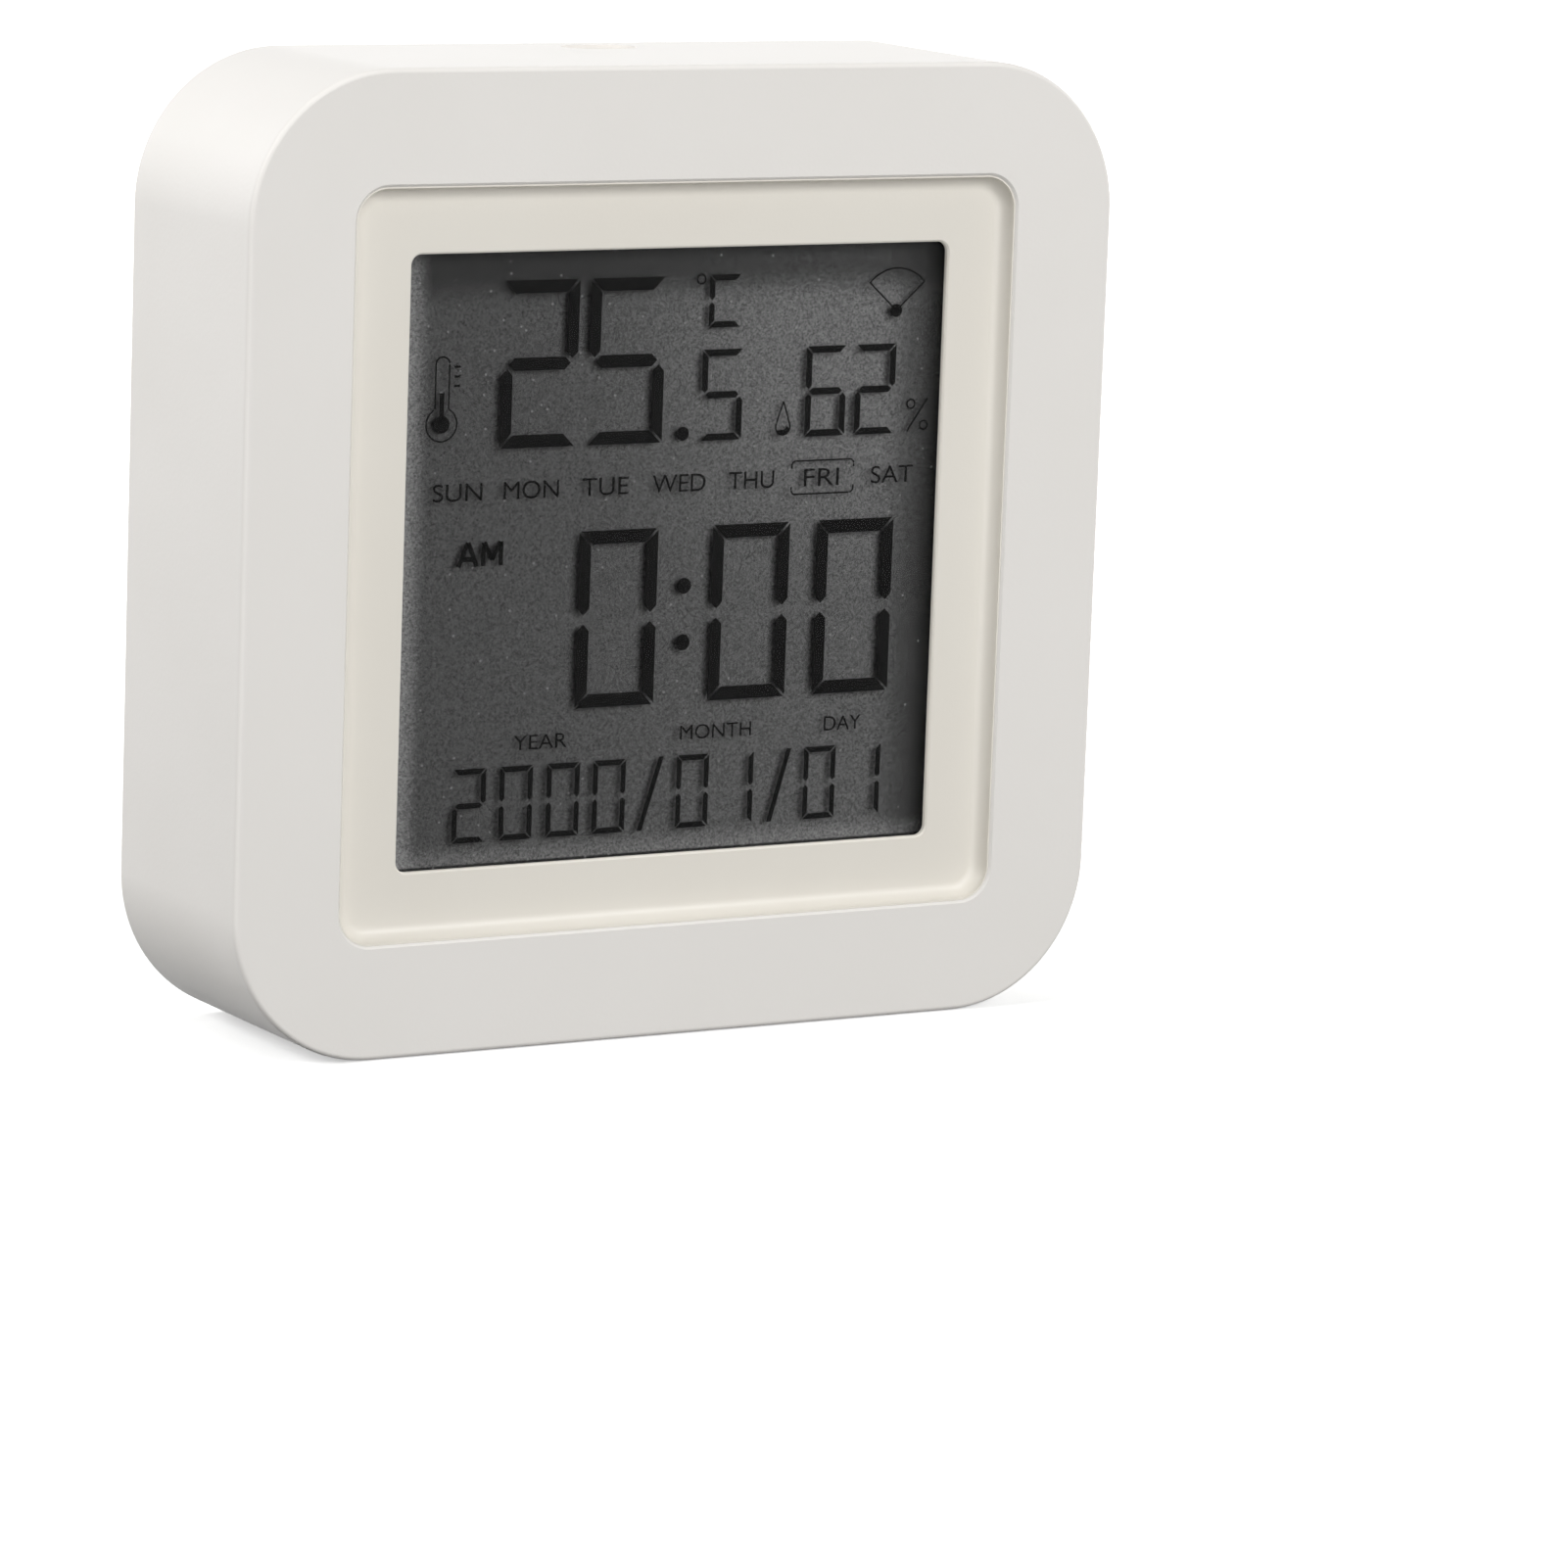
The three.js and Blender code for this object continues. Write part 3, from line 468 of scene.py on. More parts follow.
# %% Openings for the button and the socket
BUTTON_WIDTH, BUTTON_DEPTH, BUTTON_GAP, BUTTON_FROM_REAR = 6.4, 3.6, 0.1, 4.4
SHORT_OF_ROUND = 0.01
RECESS_LENGTH, RECESS_WIDTH, RECESS_DEPTH, RECESS_CORNER = 11.2, 7.6, 1.2, 1.6
MOUTH_LENGTH, MOUTH_WIDTH, MOUTH_CORNER = 8.4, 3.4, 1.0
button_y = at(BODY_DEPTH - BUTTON_FROM_REAR)
socket = sum(box_mm("usb_shell"), Vector()) / 2


def upright_slot(name, width, depth, z0, z1, **rims):
    """A stadium-shaped bar that stands upright on the light button's axis."""
    return rounded_block(name, (-width / 2, button_y - depth / 2, z0), (width / 2, button_y + depth / 2, z1),
                         2, depth / 2 - SHORT_OF_ROUND, **rims)


def side_slot(name, tall, thick, x0, x1, corner):
    """A rounded bar that runs through the right side on the socket's axis."""
    return rounded_block(name, (x0, socket.y - thick / 2, socket.z - tall / 2),
                         (x1, socket.y + thick / 2, socket.z + tall / 2), 0, corner, steps=12)


carve(casing,
      upright_slot("button_hole", BUTTON_WIDTH + 2 * BUTTON_GAP, BUTTON_DEPTH + 2 * BUTTON_GAP,
                   BODY_HEIGHT - SIDE_WALL - PAST, BODY_HEIGHT + PAST),
      side_slot("socket_recess", RECESS_LENGTH, RECESS_WIDTH, half_width - RECESS_DEPTH, half_width + PAST,
                RECESS_CORNER),
      side_slot("socket_hole", MOUTH_LENGTH, MOUTH_WIDTH, wall_inside - PAST, half_width + PAST,
                MOUTH_CORNER))
smooth(casing)
stands_for(casing, "casing", "casing", "front_casing")

# %% [markdown]
# The bezel is a cream tray let into the face. Its floor frames the window, and a hollow rounding runs
# up from the floor to a thin rim. The rounding is cut by a block whose inner rim is bevelled, so the
# tray and its hollow are one cut. A chamfer breaks the edge of the window.

# %% Bezel
TRAY_RIM, TRAY_RIM_DEPTH, TRAY_DEPTH, HOLLOW_RADIUS = 0.12, 0.2, 1.4, 1.25
FLANGE_FRONT, EDGE_BREAK = 2.05, 0.15
WINDOW_HALF_X, WINDOW_HALF_Z, WINDOW_LIP, WINDOW_CORNER = 24.95, 25.05, 0.5, 0.9
glass_low, glass_high = box_mm("lcd_front_glass")


def window_block(name, grow, depth_from, depth_to, **rims):
    """A block of the window's outline, larger by grow on each side."""
    return rounded_block(
        name, (-WINDOW_HALF_X - grow, at(depth_from), MIDDLE - WINDOW_HALF_Z - grow),
        (WINDOW_HALF_X + grow, at(depth_to), MIDDLE + WINDOW_HALF_Z + grow), 1, WINDOW_CORNER + grow,
        steps=12, **rims)


bezel = square("bezel_tray", bezel_half, TRAY_RIM_DEPTH, FLANGE_REAR, BEZEL_CORNER)
fuse(bezel, square("flange", bezel_half + FLANGE, FLANGE_FRONT, FLANGE_REAR, BEZEL_CORNER + FLANGE))
carve(bezel,
      square("tray", bezel_half - TRAY_RIM, -4 * PAST, TRAY_DEPTH, BEZEL_CORNER - TRAY_RIM,
             high_rim=HOLLOW_RADIUS, rim_steps=12),
      rounded_block("glass_pocket", (glass_low.x - POCKET_GAP, at(TRAY_DEPTH + WINDOW_LIP),
                                     glass_low.z - POCKET_GAP),
                    (glass_high.x + POCKET_GAP, at(FLANGE_REAR + PAST), glass_high.z + POCKET_GAP), 1, 0),
      window_block("window", 0, TRAY_DEPTH - PAST, FLANGE_REAR + PAST),
      window_block("window_chamfer", EDGE_BREAK, TRAY_DEPTH - 2 * PAST, TRAY_DEPTH + EDGE_BREAK,
                   high_rim=EDGE_BREAK, rim_steps=1))
smooth(bezel)
stands_for(bezel, "casing", "bezel", "display_bezel")

# %% [markdown]
# The rear cover drops into a step in the casing, on a skirt that slides inside the casing's wall. Three
# ribs keep it stiff, and a pad behind each boss takes the pull of a screw.

# %% Rear cover
COVER_REAR, COVER_RIM, LAYER_GAP = 21.5, 0.25, 0.05
SKIRT_OUT, SKIRT_THICKNESS, SKIRT_HEIGHT = 2.6, 1.0, 2.2
# the skirt leaves room for the light button's switch and for the casing's bosses
NOTCH_HALF, NOTCH_HEIGHT, ROOM_DEPTH = 4.8, 3, 5
RIB_HEIGHT, RIB_FROM_WALL, RIB_ABOVE_CELL = 1.2, 7.6, 4.5
SCREW_HEAD, SCREW_SHANK, SCREW_HEAD_HEIGHT = 2.2, 1.05, 1.4
BOSS_PLAY, HEAD_PLAY, HEAD_ROOM, SHANK_PLAY = 0.3, 0.25, 0.1, 0.2

cover_half = box_mm("rear_cover")[1].x
cover = square("rear_shell", cover_half, COVER_DEPTH + LAYER_GAP, COVER_REAR,
               CORNER_RADIUS - (half_width - cover_half), high_rim=COVER_RIM, rim_steps=3)
inner = SKIRT_OUT + SKIRT_THICKNESS
skirt = square("skirt", half_width - SKIRT_OUT, COVER_DEPTH - SKIRT_HEIGHT, COVER_DEPTH + OVERLAP,
               CORNER_RADIUS - SKIRT_OUT)
carve(skirt,
      square("skirt_inside", half_width - inner, COVER_DEPTH - SKIRT_HEIGHT - PAST, COVER_DEPTH + PAST,
             CORNER_RADIUS - inner),
      rounded_block("skirt_notch", (-NOTCH_HALF, at(COVER_DEPTH - ROOM_DEPTH),
                                    BODY_HEIGHT - SIDE_WALL - NOTCH_HEIGHT),
                    (NOTCH_HALF, at(COVER_DEPTH + LAYER_GAP), BODY_HEIGHT), 1, 0))

rib_reach, upright_rib = wall_inside - SKIRT_THICKNESS, wall_inside - RIB_FROM_WALL
level_rib = box_mm("battery_cell")[1].z + RIB_ABOVE_CELL
web, low_end, high_end = RIB_THICKNESS / 2, MIDDLE - rib_reach, MIDDLE + rib_reach
for x0, x1, z0, z1 in ((-rib_reach, rib_reach, level_rib - web, level_rib + web),
                       (-upright_rib - web, -upright_rib + web, low_end, high_end),
                       (upright_rib - web, upright_rib + web, low_end, high_end)):
    fuse(skirt, rounded_block("rib", (x0, at(COVER_DEPTH - RIB_HEIGHT), z0),
                              (x1, at(COVER_DEPTH + OVERLAP), z1), 1, 0))

for x, z in screw_places("cover_screw"):
    carve(skirt, pin("boss_room", BOSS_RADIUS + BOSS_PLAY, COVER_DEPTH - ROOM_DEPTH,
                     COVER_DEPTH + LAYER_GAP, x, z))
fuse(cover, skirt)
for x, z in screw_places("cover_screw"):
    fuse(cover, pin("pad", BOSS_RADIUS - BOSS_PLAY, BOSS_REAR + LAYER_GAP, COVER_DEPTH + OVERLAP, x, z))
    carve(cover,
          pin("head_room", SCREW_HEAD + HEAD_PLAY, COVER_REAR - SCREW_HEAD_HEIGHT - HEAD_ROOM,
              COVER_REAR + PAST, x, z),
          pin("shank_room", SCREW_SHANK + SHANK_PLAY, BOSS_REAR - PAST, COVER_REAR + PAST, x, z))
print("rear shell", len(cover.data.polygons), "faces")

# %% [markdown]
# The cover has two groups of slots for the air that the sensor reads, and a round hole for the set
# button. One slot is modelled and copied, and all the copies are cut at once.

# %% Vents
VENT_WIDTH, VENT_HEIGHT, VENT_PITCH, VENT_COUNT = 1.5, 14, 3.1, 6
VENT_X, VENT_Z = 18.5, 62
SET_BUTTON_RADIUS, SET_HOLE_SIDES = 2.0, 64


def place_copy(master, matrix):
    """A copy with its own mesh, placed by a matrix."""
    piece = master.copy()
    piece.data = master.data.copy()
    scene.collection.objects.link(piece)
    piece.data.transform(matrix)
    return piece


first_slot = rounded_block("vent", (-VENT_WIDTH / 2, at(COVER_DEPTH - PAST), VENT_Z - VENT_HEIGHT / 2),
                           (VENT_WIDTH / 2, at(COVER_REAR + PAST), VENT_Z + VENT_HEIGHT / 2), 1,
                           VENT_WIDTH / 2 - SHORT_OF_ROUND, steps=8)
slots = []
for side in (-1, 1):
    for i in range(VENT_COUNT):
        shift = side * VENT_X + (i - (VENT_COUNT - 1) / 2) * VENT_PITCH
        slots.append(place_copy(first_slot, Matrix.Translation((shift * MM, 0, 0))))
bpy.data.objects.remove(first_slot)
carve(cover, *slots)
carve(cover, pin("set_hole", SET_BUTTON_RADIUS + BUTTON_GAP, COVER_DEPTH - PAST, COVER_REAR + PAST,
                 0, VENT_Z, SET_HOLE_SIDES))
smooth(cover)
stands_for(cover, "casing", "casing", "rear_cover")

# %% [markdown]
# Round pieces are drawn out like clay on a wheel: a disc is added, and each ring of the profile is an
# extrusion that is then resized. The set button is made this way, with a small dimple for the finger.


# %% Set button
def turned(name, profile, x, z, sides=48):
    """A round piece from a profile of (radius, depth) rings, from one end to the other."""
    radius, depth = profile[0]
    bpy.ops.mesh.primitive_circle_add(vertices=sides, radius=radius * MM, fill_type="NGON",
                                      location=Vector((x, at(depth), z)) * MM, rotation=UPRIGHT)
    piece = settle(name)
    bpy.ops.object.mode_set(mode="EDIT")
    bpy.ops.mesh.select_all(action="SELECT")
    for (r0, d0), (r1, d1) in zip(profile, profile[1:]):
        bpy.ops.mesh.extrude_region_move(TRANSFORM_OT_translate={"value": (0, (d1 - d0) * MM, 0)})
        bpy.ops.transform.resize(value=(r1 / r0, 1, r1 / r0), center_override=Vector((x, at(d1), z)) * MM)
    bpy.ops.mesh.select_all(action="SELECT")
    bpy.ops.mesh.remove_doubles(threshold=1e-7)
    bpy.ops.mesh.normals_make_consistent(inside=False)
    bpy.ops.object.mode_set(mode="OBJECT")
    return piece


SET_STEM, SET_FLANGE, SET_FLANGE_THICKNESS = 1.3, 2.9, 1.0
set_foot, set_tip = (corner.y - body_low.y for corner in box_mm("set_button"))
set_seat = COVER_DEPTH - BUTTON_GAP
set_inner = set_seat - SET_FLANGE_THICKNESS
set_button = turned("set_button_cap", [
    (SET_STEM, set_foot), (SET_STEM, set_inner), (SET_FLANGE, set_inner), (SET_FLANGE, set_seat),
    (SET_BUTTON_RADIUS, set_seat), (SET_BUTTON_RADIUS, set_tip - 0.3), (1.91, set_tip - 0.09),
    (1.7, set_tip), (1.1, set_tip), (0.75, set_tip - 0.12), (0.3, set_tip - 0.22), (0.02, set_tip - 0.25)],
    0, VENT_Z)
smooth(set_button, 40)
stands_for(set_button, "set_button", "set_button", "set_button")

# %% [markdown]
# The screws are turned too. A cross recess is cut into the first one by two crossed bars. The four
# screws are its copies, and each has stopped at another angle, as driven screws do.

# %% Cover screws
CROSS_WIDE, CROSS_LONG, CROSS_DEPTH = 0.62, 2.5, 0.85
# below the head: the screw's length, and where its tip starts to taper
SCREW_LENGTH, TAPER_FROM = 8.5, 7.5
FIRST_TURN, NEXT_TURN = 17, 61
head_rear = COVER_REAR - LAYER_GAP
head_seat = head_rear - SCREW_HEAD_HEIGHT


def cross_bar(wide, tall):
    """One bar of the cross recess."""
    return rounded_block("cross_bar", (-wide / 2, at(head_rear - CROSS_DEPTH), -tall / 2),
                         (wide / 2, at(head_rear + PAST), tall / 2), 1, 0)


first_screw = turned("cover_screw", [
    (0.5, head_seat - SCREW_LENGTH), (SCREW_SHANK, head_seat - TAPER_FROM), (SCREW_SHANK, head_seat),
    (SCREW_HEAD, head_seat), (SCREW_HEAD, head_rear - 0.6), (2.12, head_rear - 0.35),
    (1.85, head_rear - 0.15), (1.3, head_rear - 0.04), (0.02, head_rear)], 0, 0)
carve(first_screw, cross_bar(CROSS_WIDE, CROSS_LONG), cross_bar(CROSS_LONG, CROSS_WIDE))
smooth(first_screw, 35)
for number, (x, z) in enumerate(screw_places("cover_screw"), 1):
    turn = Matrix.Rotation(math.radians(FIRST_TURN + NEXT_TURN * number), 4, "Y")
    screw = place_copy(first_screw, Matrix.Translation(Vector((x, 0, z)) * MM) @ turn)
    screw.name = f"rear_screw_{number}"
    stands_for(screw, "casing", "screw", f"cover_screw_{number}")
bpy.data.objects.remove(first_screw)

# %% [markdown]
# The light button is a small stadium-shaped cap, dished so that a finger finds it. The dish is a slice
# off a large ball. Below the wall it has a flange that keeps it in and a foot that meets its switch.

# %% Light button
CROWN_BELOW_TOP, DISH, CAP_RIM = 0.25, 0.35, 0.2
FLANGE_THICKNESS, FOOT_HALF, FOOT_DEPTH, HIDDEN_CORNER = 1, 1.5, 2.4, 0.3
button_low, button_high = box_mm("top_button")
crown = BODY_HEIGHT - CROWN_BELOW_TOP
under_wall = BODY_HEIGHT - SIDE_WALL - BUTTON_GAP
ball_radius = (BUTTON_WIDTH ** 2 / 4 + DISH ** 2) / (2 * DISH)
button = upright_slot("light_button_cap", BUTTON_WIDTH, BUTTON_DEPTH, under_wall - OVERLAP, crown,
                      high_rim=CAP_RIM, rim_steps=4)
bpy.ops.mesh.primitive_uv_sphere_add(segments=192, ring_count=96, radius=ball_radius * MM,
                                     location=Vector((0, button_y, crown + ball_radius - DISH)) * MM)
carve(button, settle("ball"))
fuse(button,
     rounded_block("button_flange", (button_low.x, button_low.y, under_wall - FLANGE_THICKNESS),
                   (button_high.x, button_high.y, under_wall), 2, HIDDEN_CORNER, steps=4),
     rounded_block("button_foot", (-FOOT_HALF, button_low.y, button_low.z),
                   (FOOT_HALF, button_low.y + FOOT_DEPTH, under_wall - OVERLAP), 2, HIDDEN_CORNER, steps=4))
smooth(button, 35)
stands_for(button, "light_button", "button", "top_button")

# %% [markdown]
# What a liquid crystal display shows is dark film between two glasses. It is drawn here as thin plates
# a little in front of the grey cell, so that the front lamp throws their real soft shadow on it. Places
# are in millimetres from the casing's left side and from its foot, as they read on the face. A bar
# starts as a plain plate, and its ends are mitred or drawn out to a point.

# %% Display bars
ART_DEPTH, ART_THICKNESS = 2.5, 0.02
ART_LEFT, ART_FOOT = body_low.x + 0.23, -0.07
display_art = []


def plate(name, x, z, width, height):
    """A flat rectangle about a middle, upright in the plane of the face."""
    bpy.ops.mesh.primitive_plane_add(size=1, location=(x, 0, z), rotation=UPRIGHT)
    bpy.context.object.scale = (width, height, 1)
    return settle(name)


def choose(piece, wanted):
    """In edit mode, selects the vertices that pass the test and the edges between them."""
    bpy.ops.mesh.select_mode(type="VERT")
    bpy.ops.mesh.select_all(action="DESELECT")
    mesh = bmesh.from_edit_mesh(piece.data)
    for vertex in mesh.verts:
        vertex.select_set(wanted(vertex.co))
    mesh.select_flush(True)
    bmesh.update_edit_mesh(piece.data)


def flat_bar(length, thickness, inner_side, start, end):
    """A bar along X from the origin; inner_side is the side that a mitre shortens, +1 up or -1 down."""
    bar = plate("bar", length / 2, 0, length, thickness)
    bpy.ops.object.mode_set(mode="EDIT")
    for x, direction, style in ((0, 1, start), (length, -1, end)):
        mitred = style == "mitre"
        choose(bar, lambda v: abs(v.x - x) < NEAR and (not mitred or v.z * inner_side > 0))
        shift = direction * thickness / (1 if mitred else 2)
        bpy.ops.transform.translate(value=(shift, 0, 0))
        if not mitred:
            bpy.ops.mesh.extrude_edges_move(TRANSFORM_OT_translate={"value": (-shift, 0, 0)})
            bpy.ops.mesh.merge(type="CENTER")
    bpy.ops.object.mode_set(mode="OBJECT")
    return bar


def set_in_glass(name, shapes):
    """Joins flat shapes drawn in face millimetres, gives them a thickness and puts them in the glass."""
    only(shapes[0])
    for shape in shapes:
        shape.select_set(True)
    bpy.ops.object.join()
    piece = bpy.context.object
    piece.name = name
    piece.data.name = name
    bpy.ops.object.mode_set(mode="EDIT")
    bpy.ops.mesh.select_all(action="SELECT")
    bpy.ops.mesh.extrude_region_move(TRANSFORM_OT_translate={"value": (0, ART_THICKNESS, 0)})
    bpy.ops.mesh.select_all(action="SELECT")
    bpy.ops.mesh.normals_make_consistent(inside=False)
    bpy.ops.object.mode_set(mode="OBJECT")
    piece.data.transform(Matrix.Scale(MM, 4) @ Matrix.Translation((ART_LEFT, at(ART_DEPTH), ART_FOOT)))
    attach(piece, "casing")
    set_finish(piece, "display_cell")
    display_art.append(piece)
    print(name, len(piece.data.polygons), "faces")


print("display plates lie", ART_DEPTH, "mm behind the face")

# %% [markdown]
# A digit is seven bars of three kinds: mitred at both ends, mitred at one, and pointed at both. Its
# other bars are mirrored copies, so that all its gaps are alike.

# %% Digits
SEGMENTS = {"0": "abcdef", "1": "bc", "2": "abged", "5": "afgcd", "6": "afgedc", "C": "afed"}


def mirror(axis, middle):
    """Mirrors the face about an upright line (axis 0) or a level one (axis 2)."""
    across = Vector([float(i == axis) for i in range(3)])
    return (Matrix.Translation(across * middle) @ Matrix.Scale(-1, 4, across)
            @ Matrix.Translation(-across * middle))


def digit(character, x, z, width, height, thick, gap, waist):
    """The lit bars of a digit from its lower left corner; waist parts its upper and lower half."""
    across = flat_bar(width - 2 * gap, thick, -1, "mitre", "mitre")
    upright = flat_bar((height - waist) / 2 - gap, thick, -1, "point", "mitre")
    centre = flat_bar(width - 2 * gap - thick, thick, 1, "point", "point")
    top = Matrix.Translation((x + gap, 0, z + height - thick / 2))
    upper_left = (Matrix.Translation((x + thick / 2, 0, z + (height + waist) / 2))
                  @ Matrix.Rotation(math.radians(-90), 4, "Y"))
    swap_sides, swap_halves = mirror(0, x + width / 2), mirror(2, z + height / 2)
    places = {
        "a": (across, top),
        "d": (across, swap_halves @ top),
        "g": (centre, Matrix.Translation((x + gap + thick / 2, 0, z + height / 2))),
        "f": (upright, upper_left),
        "e": (upright, swap_halves @ upper_left),
        "b": (upright, swap_sides @ upper_left),
        "c": (upright, swap_sides @ swap_halves @ upper_left),
    }
    made = [place_copy(*places[segment]) for segment in SEGMENTS[character]]
    for master in (across, upright, centre):
        bpy.data.objects.remove(master)
    return made


def run(characters, starts, z, width, height, thick, gap, waist):
    """Several digits of one size, each starting at its own place."""
    return [bar for character, x in zip(characters, starts)
            for bar in digit(character, x, z, width, height, thick, gap, waist)]


print("characters", *SEGMENTS)

# %% [markdown]
# The readings are plain numbers: a temperature, a humidity, a time and a date, in four sizes of digit.
# Each digit is given by its left end on the face. The date's strokes are upright bars whose tops are
# pushed sideways.

# %% Readings
# foot, width, height, thickness of a bar, gap between bars, gap at the waist
TEMPERATURE_SIZE = (49.1, 7.0, 13.6, 1.05, 0.14, 0.75)
SMALL_SIZE = (49.1, 3.85, 7.5, 0.56, 0.1, 0.4)
TIME_SIZE = (27.45, 7.35, 14.6, 1.1, 0.14, 0.75)
DATE_SIZE = (16.9, 3.05, 6.1, 0.46, 0.09, 0.32)


def circle(name, x, z, radius, sides, fill_type):
    """A circle in the plane of the face, open or filled."""
    bpy.ops.mesh.primitive_circle_add(vertices=sides, radius=radius, fill_type=fill_type,
                                      location=(x, 0, z), rotation=UPRIGHT)
    return settle(name)


def dot(x, z, radius):
    """A filled round dot."""
    return circle("dot", x, z, radius, 32, "NGON")


def slash(x, lean, thick=0.45):
    """A slanted bar as high as the date's digits."""
    foot, height = DATE_SIZE[0], DATE_SIZE[2]
    bar = plate("slash", x + thick / 2, foot + height / 2, thick, height)
    bpy.ops.object.mode_set(mode="EDIT")
    choose(bar, lambda v: v.z > foot + height / 2)
    bpy.ops.transform.translate(value=(lean, 0, 0))
    bpy.ops.object.mode_set(mode="OBJECT")
    return bar


set_in_glass("temperature_digits", run("25", (23.7, 31.7), *TEMPERATURE_SIZE)
             + run("5", (42.3,), *SMALL_SIZE) + [dot(40.65, 49.75, 0.58)])
set_in_glass("humidity_digits", run("62", (52.15, 56.9), *SMALL_SIZE))
set_in_glass("time_digits", run("000", (31.35, 43.8, 53.75), *TIME_SIZE)
             + [dot(41.25, 37.15, 0.66), dot(41.3, 32.45, 0.66)])
set_in_glass("date_digits", run("2000", (20.35, 24.65, 29.0, 33.3), *DATE_SIZE)
             + run("01", (41.15, 45.4), *DATE_SIZE) + run("01", (53.3, 57.65), *DATE_SIZE)
             + [slash(37.55, 1.9), slash(49.85, 1.75)])

# %% [markdown]
# Beside the readings stand plain legends: the days of the week and the names of the date's parts. They
# are text in the plain built-in typeface, turned to mesh and fitted to their measured size.

# %% Legends
# a little off every outline, because the plain typeface is heavier than display lettering
LETTER_THINNING = -0.005


def legend(words, x0, x1, z0, z1):
    """A word as a flat mesh that fills a box on the face."""
    bpy.ops.object.text_add(rotation=UPRIGHT)
    text = bpy.context.object
    text.data.body = words
    text.data.offset = LETTER_THINNING
    bpy.ops.object.convert(target="MESH")
    shape = settle("legend")
    xs = [v.co.x for v in shape.data.vertices]
    zs = [v.co.z for v in shape.data.vertices]
    grow = Matrix.Diagonal(((x1 - x0) / (max(xs) - min(xs)), 1, (z1 - z0) / (max(zs) - min(zs)), 1))
    shape.data.transform(Matrix.Translation((x0, 0, z0)) @ grow @ Matrix.Translation((-min(xs), 0, -min(zs))))
    return shape


# each word with its left and right end; the days stand in one row and the names in another
DAYS = {"SUN": (17.8, 22.3), "MON": (24.25, 29.3), "TUE": (31.45, 35.75), "WED": (38.0, 42.95),
        "THU": (45.15, 49.45), "FRI": (52.3, 55.65), "SAT": (58.75, 62.8)}
NAMES = {"YEAR": (25.85, 30.75), "MONTH": (41.35, 48.1), "DAY": (55.1, 58.65)}
set_in_glass("legends", [legend(word, x0, x1, foot, top)
                         for row, foot, top in ((DAYS, 44.95, 46.4), (NAMES, 24.3, 25.5))
                         for word, (x0, x1) in row.items()])

# %% [markdown]
# The small icons are line drawings made with three tools. A ring is a circle extruded inwards, an arc
# is a short edge spun about a centre, and a stroke is a thin plate between two points.

# %% Drawing tools
LINE = 0.13


def ring(x, z, radius, line=LINE):
    """A thin circle."""
    piece = circle("ring", x, z, radius, 48, "NOTHING")
    bpy.ops.object.mode_set(mode="EDIT")
    bpy.ops.mesh.select_all(action="SELECT")
    share = (radius - line) / radius
    bpy.ops.mesh.extrude_edges_move()
    bpy.ops.transform.resize(value=(share, 1, share), center_override=(x, 0, z))
    bpy.ops.object.mode_set(mode="OBJECT")
    return piece


def arc(x, z, radius, degrees_from, degrees_to, line=LINE, steps=32):
    """A thin arc; degrees count from the right, upwards."""
    piece = plate("arc", 0, 0, line, line)
    start = math.radians(degrees_from)
    piece.data.transform(Matrix.Rotation(-start, 4, "Y") @ Matrix.Translation((radius - line / 2, 0, 0)))
    direction = Vector((-math.sin(start), 0, math.cos(start)))
    bpy.ops.object.mode_set(mode="EDIT")
    bpy.ops.mesh.select_all(action="SELECT")
    bpy.ops.mesh.delete(type="ONLY_FACE")
    choose(piece, lambda v: v.dot(direction) < 0)
    bpy.ops.mesh.delete(type="VERT")
    bpy.ops.mesh.select_all(action="SELECT")
    bpy.ops.mesh.spin(steps=steps, angle=math.radians(degrees_to - degrees_from), center=(0, 0, 0),
                      axis=(0, 1, 0))
    bpy.ops.object.mode_set(mode="OBJECT")
    piece.data.transform(Matrix.Translation((x, 0, z)))
    return piece


def stroke(x0, z0, x1, z1, line=LINE):
    """A straight thin line between two points."""
    length = math.hypot(x1 - x0, z1 - z0)
    piece = plate("stroke", length / 2, 0, length, line)
    turn = Matrix.Rotation(-math.atan2(z1 - z0, x1 - x0), 4, "Y")
    piece.data.transform(Matrix.Translation((x0, 0, z0)) @ turn)
    return piece


print("icon lines are", LINE, "mm thick")

# %% [markdown]
# Each icon is a short list of these, by their places on the face: a thermometer, a drop, a signal fan,
# the morning mark, percent and degrees, and the rounded frame round one day. Numbers without a name are
# places and sizes on the face, in millimetres. The frame is open at the middle of its sides, and its
# two halves are alike, so a loop draws them.

# %% Icons
BULB = (18.4, 51.25)
TUBE_HALF, TUBE_TOP, BULB_RADIUS = 0.68, 56.1, 1.45
neck = math.degrees(math.acos(TUBE_HALF / BULB_RADIUS))
neck_z = BULB[1] + math.sqrt(BULB_RADIUS ** 2 - TUBE_HALF ** 2)
thermometer = [arc(*BULB, BULB_RADIUS, 180 - neck, 360 + neck), arc(BULB[0], TUBE_TOP, TUBE_HALF, 0, 180)]
thermometer += [stroke(x, neck_z, x, TUBE_TOP)
                for x in (BULB[0] - TUBE_HALF + LINE / 2, BULB[0] + TUBE_HALF - LINE / 2)]
thermometer += [dot(*BULB, 0.72), stroke(BULB[0], BULB[1], BULB[0], 53.8, 0.42)]
thermometer += [stroke(19.46, z, 20.03, z, 0.18) for z in (54.36, 55.1, 55.89)]

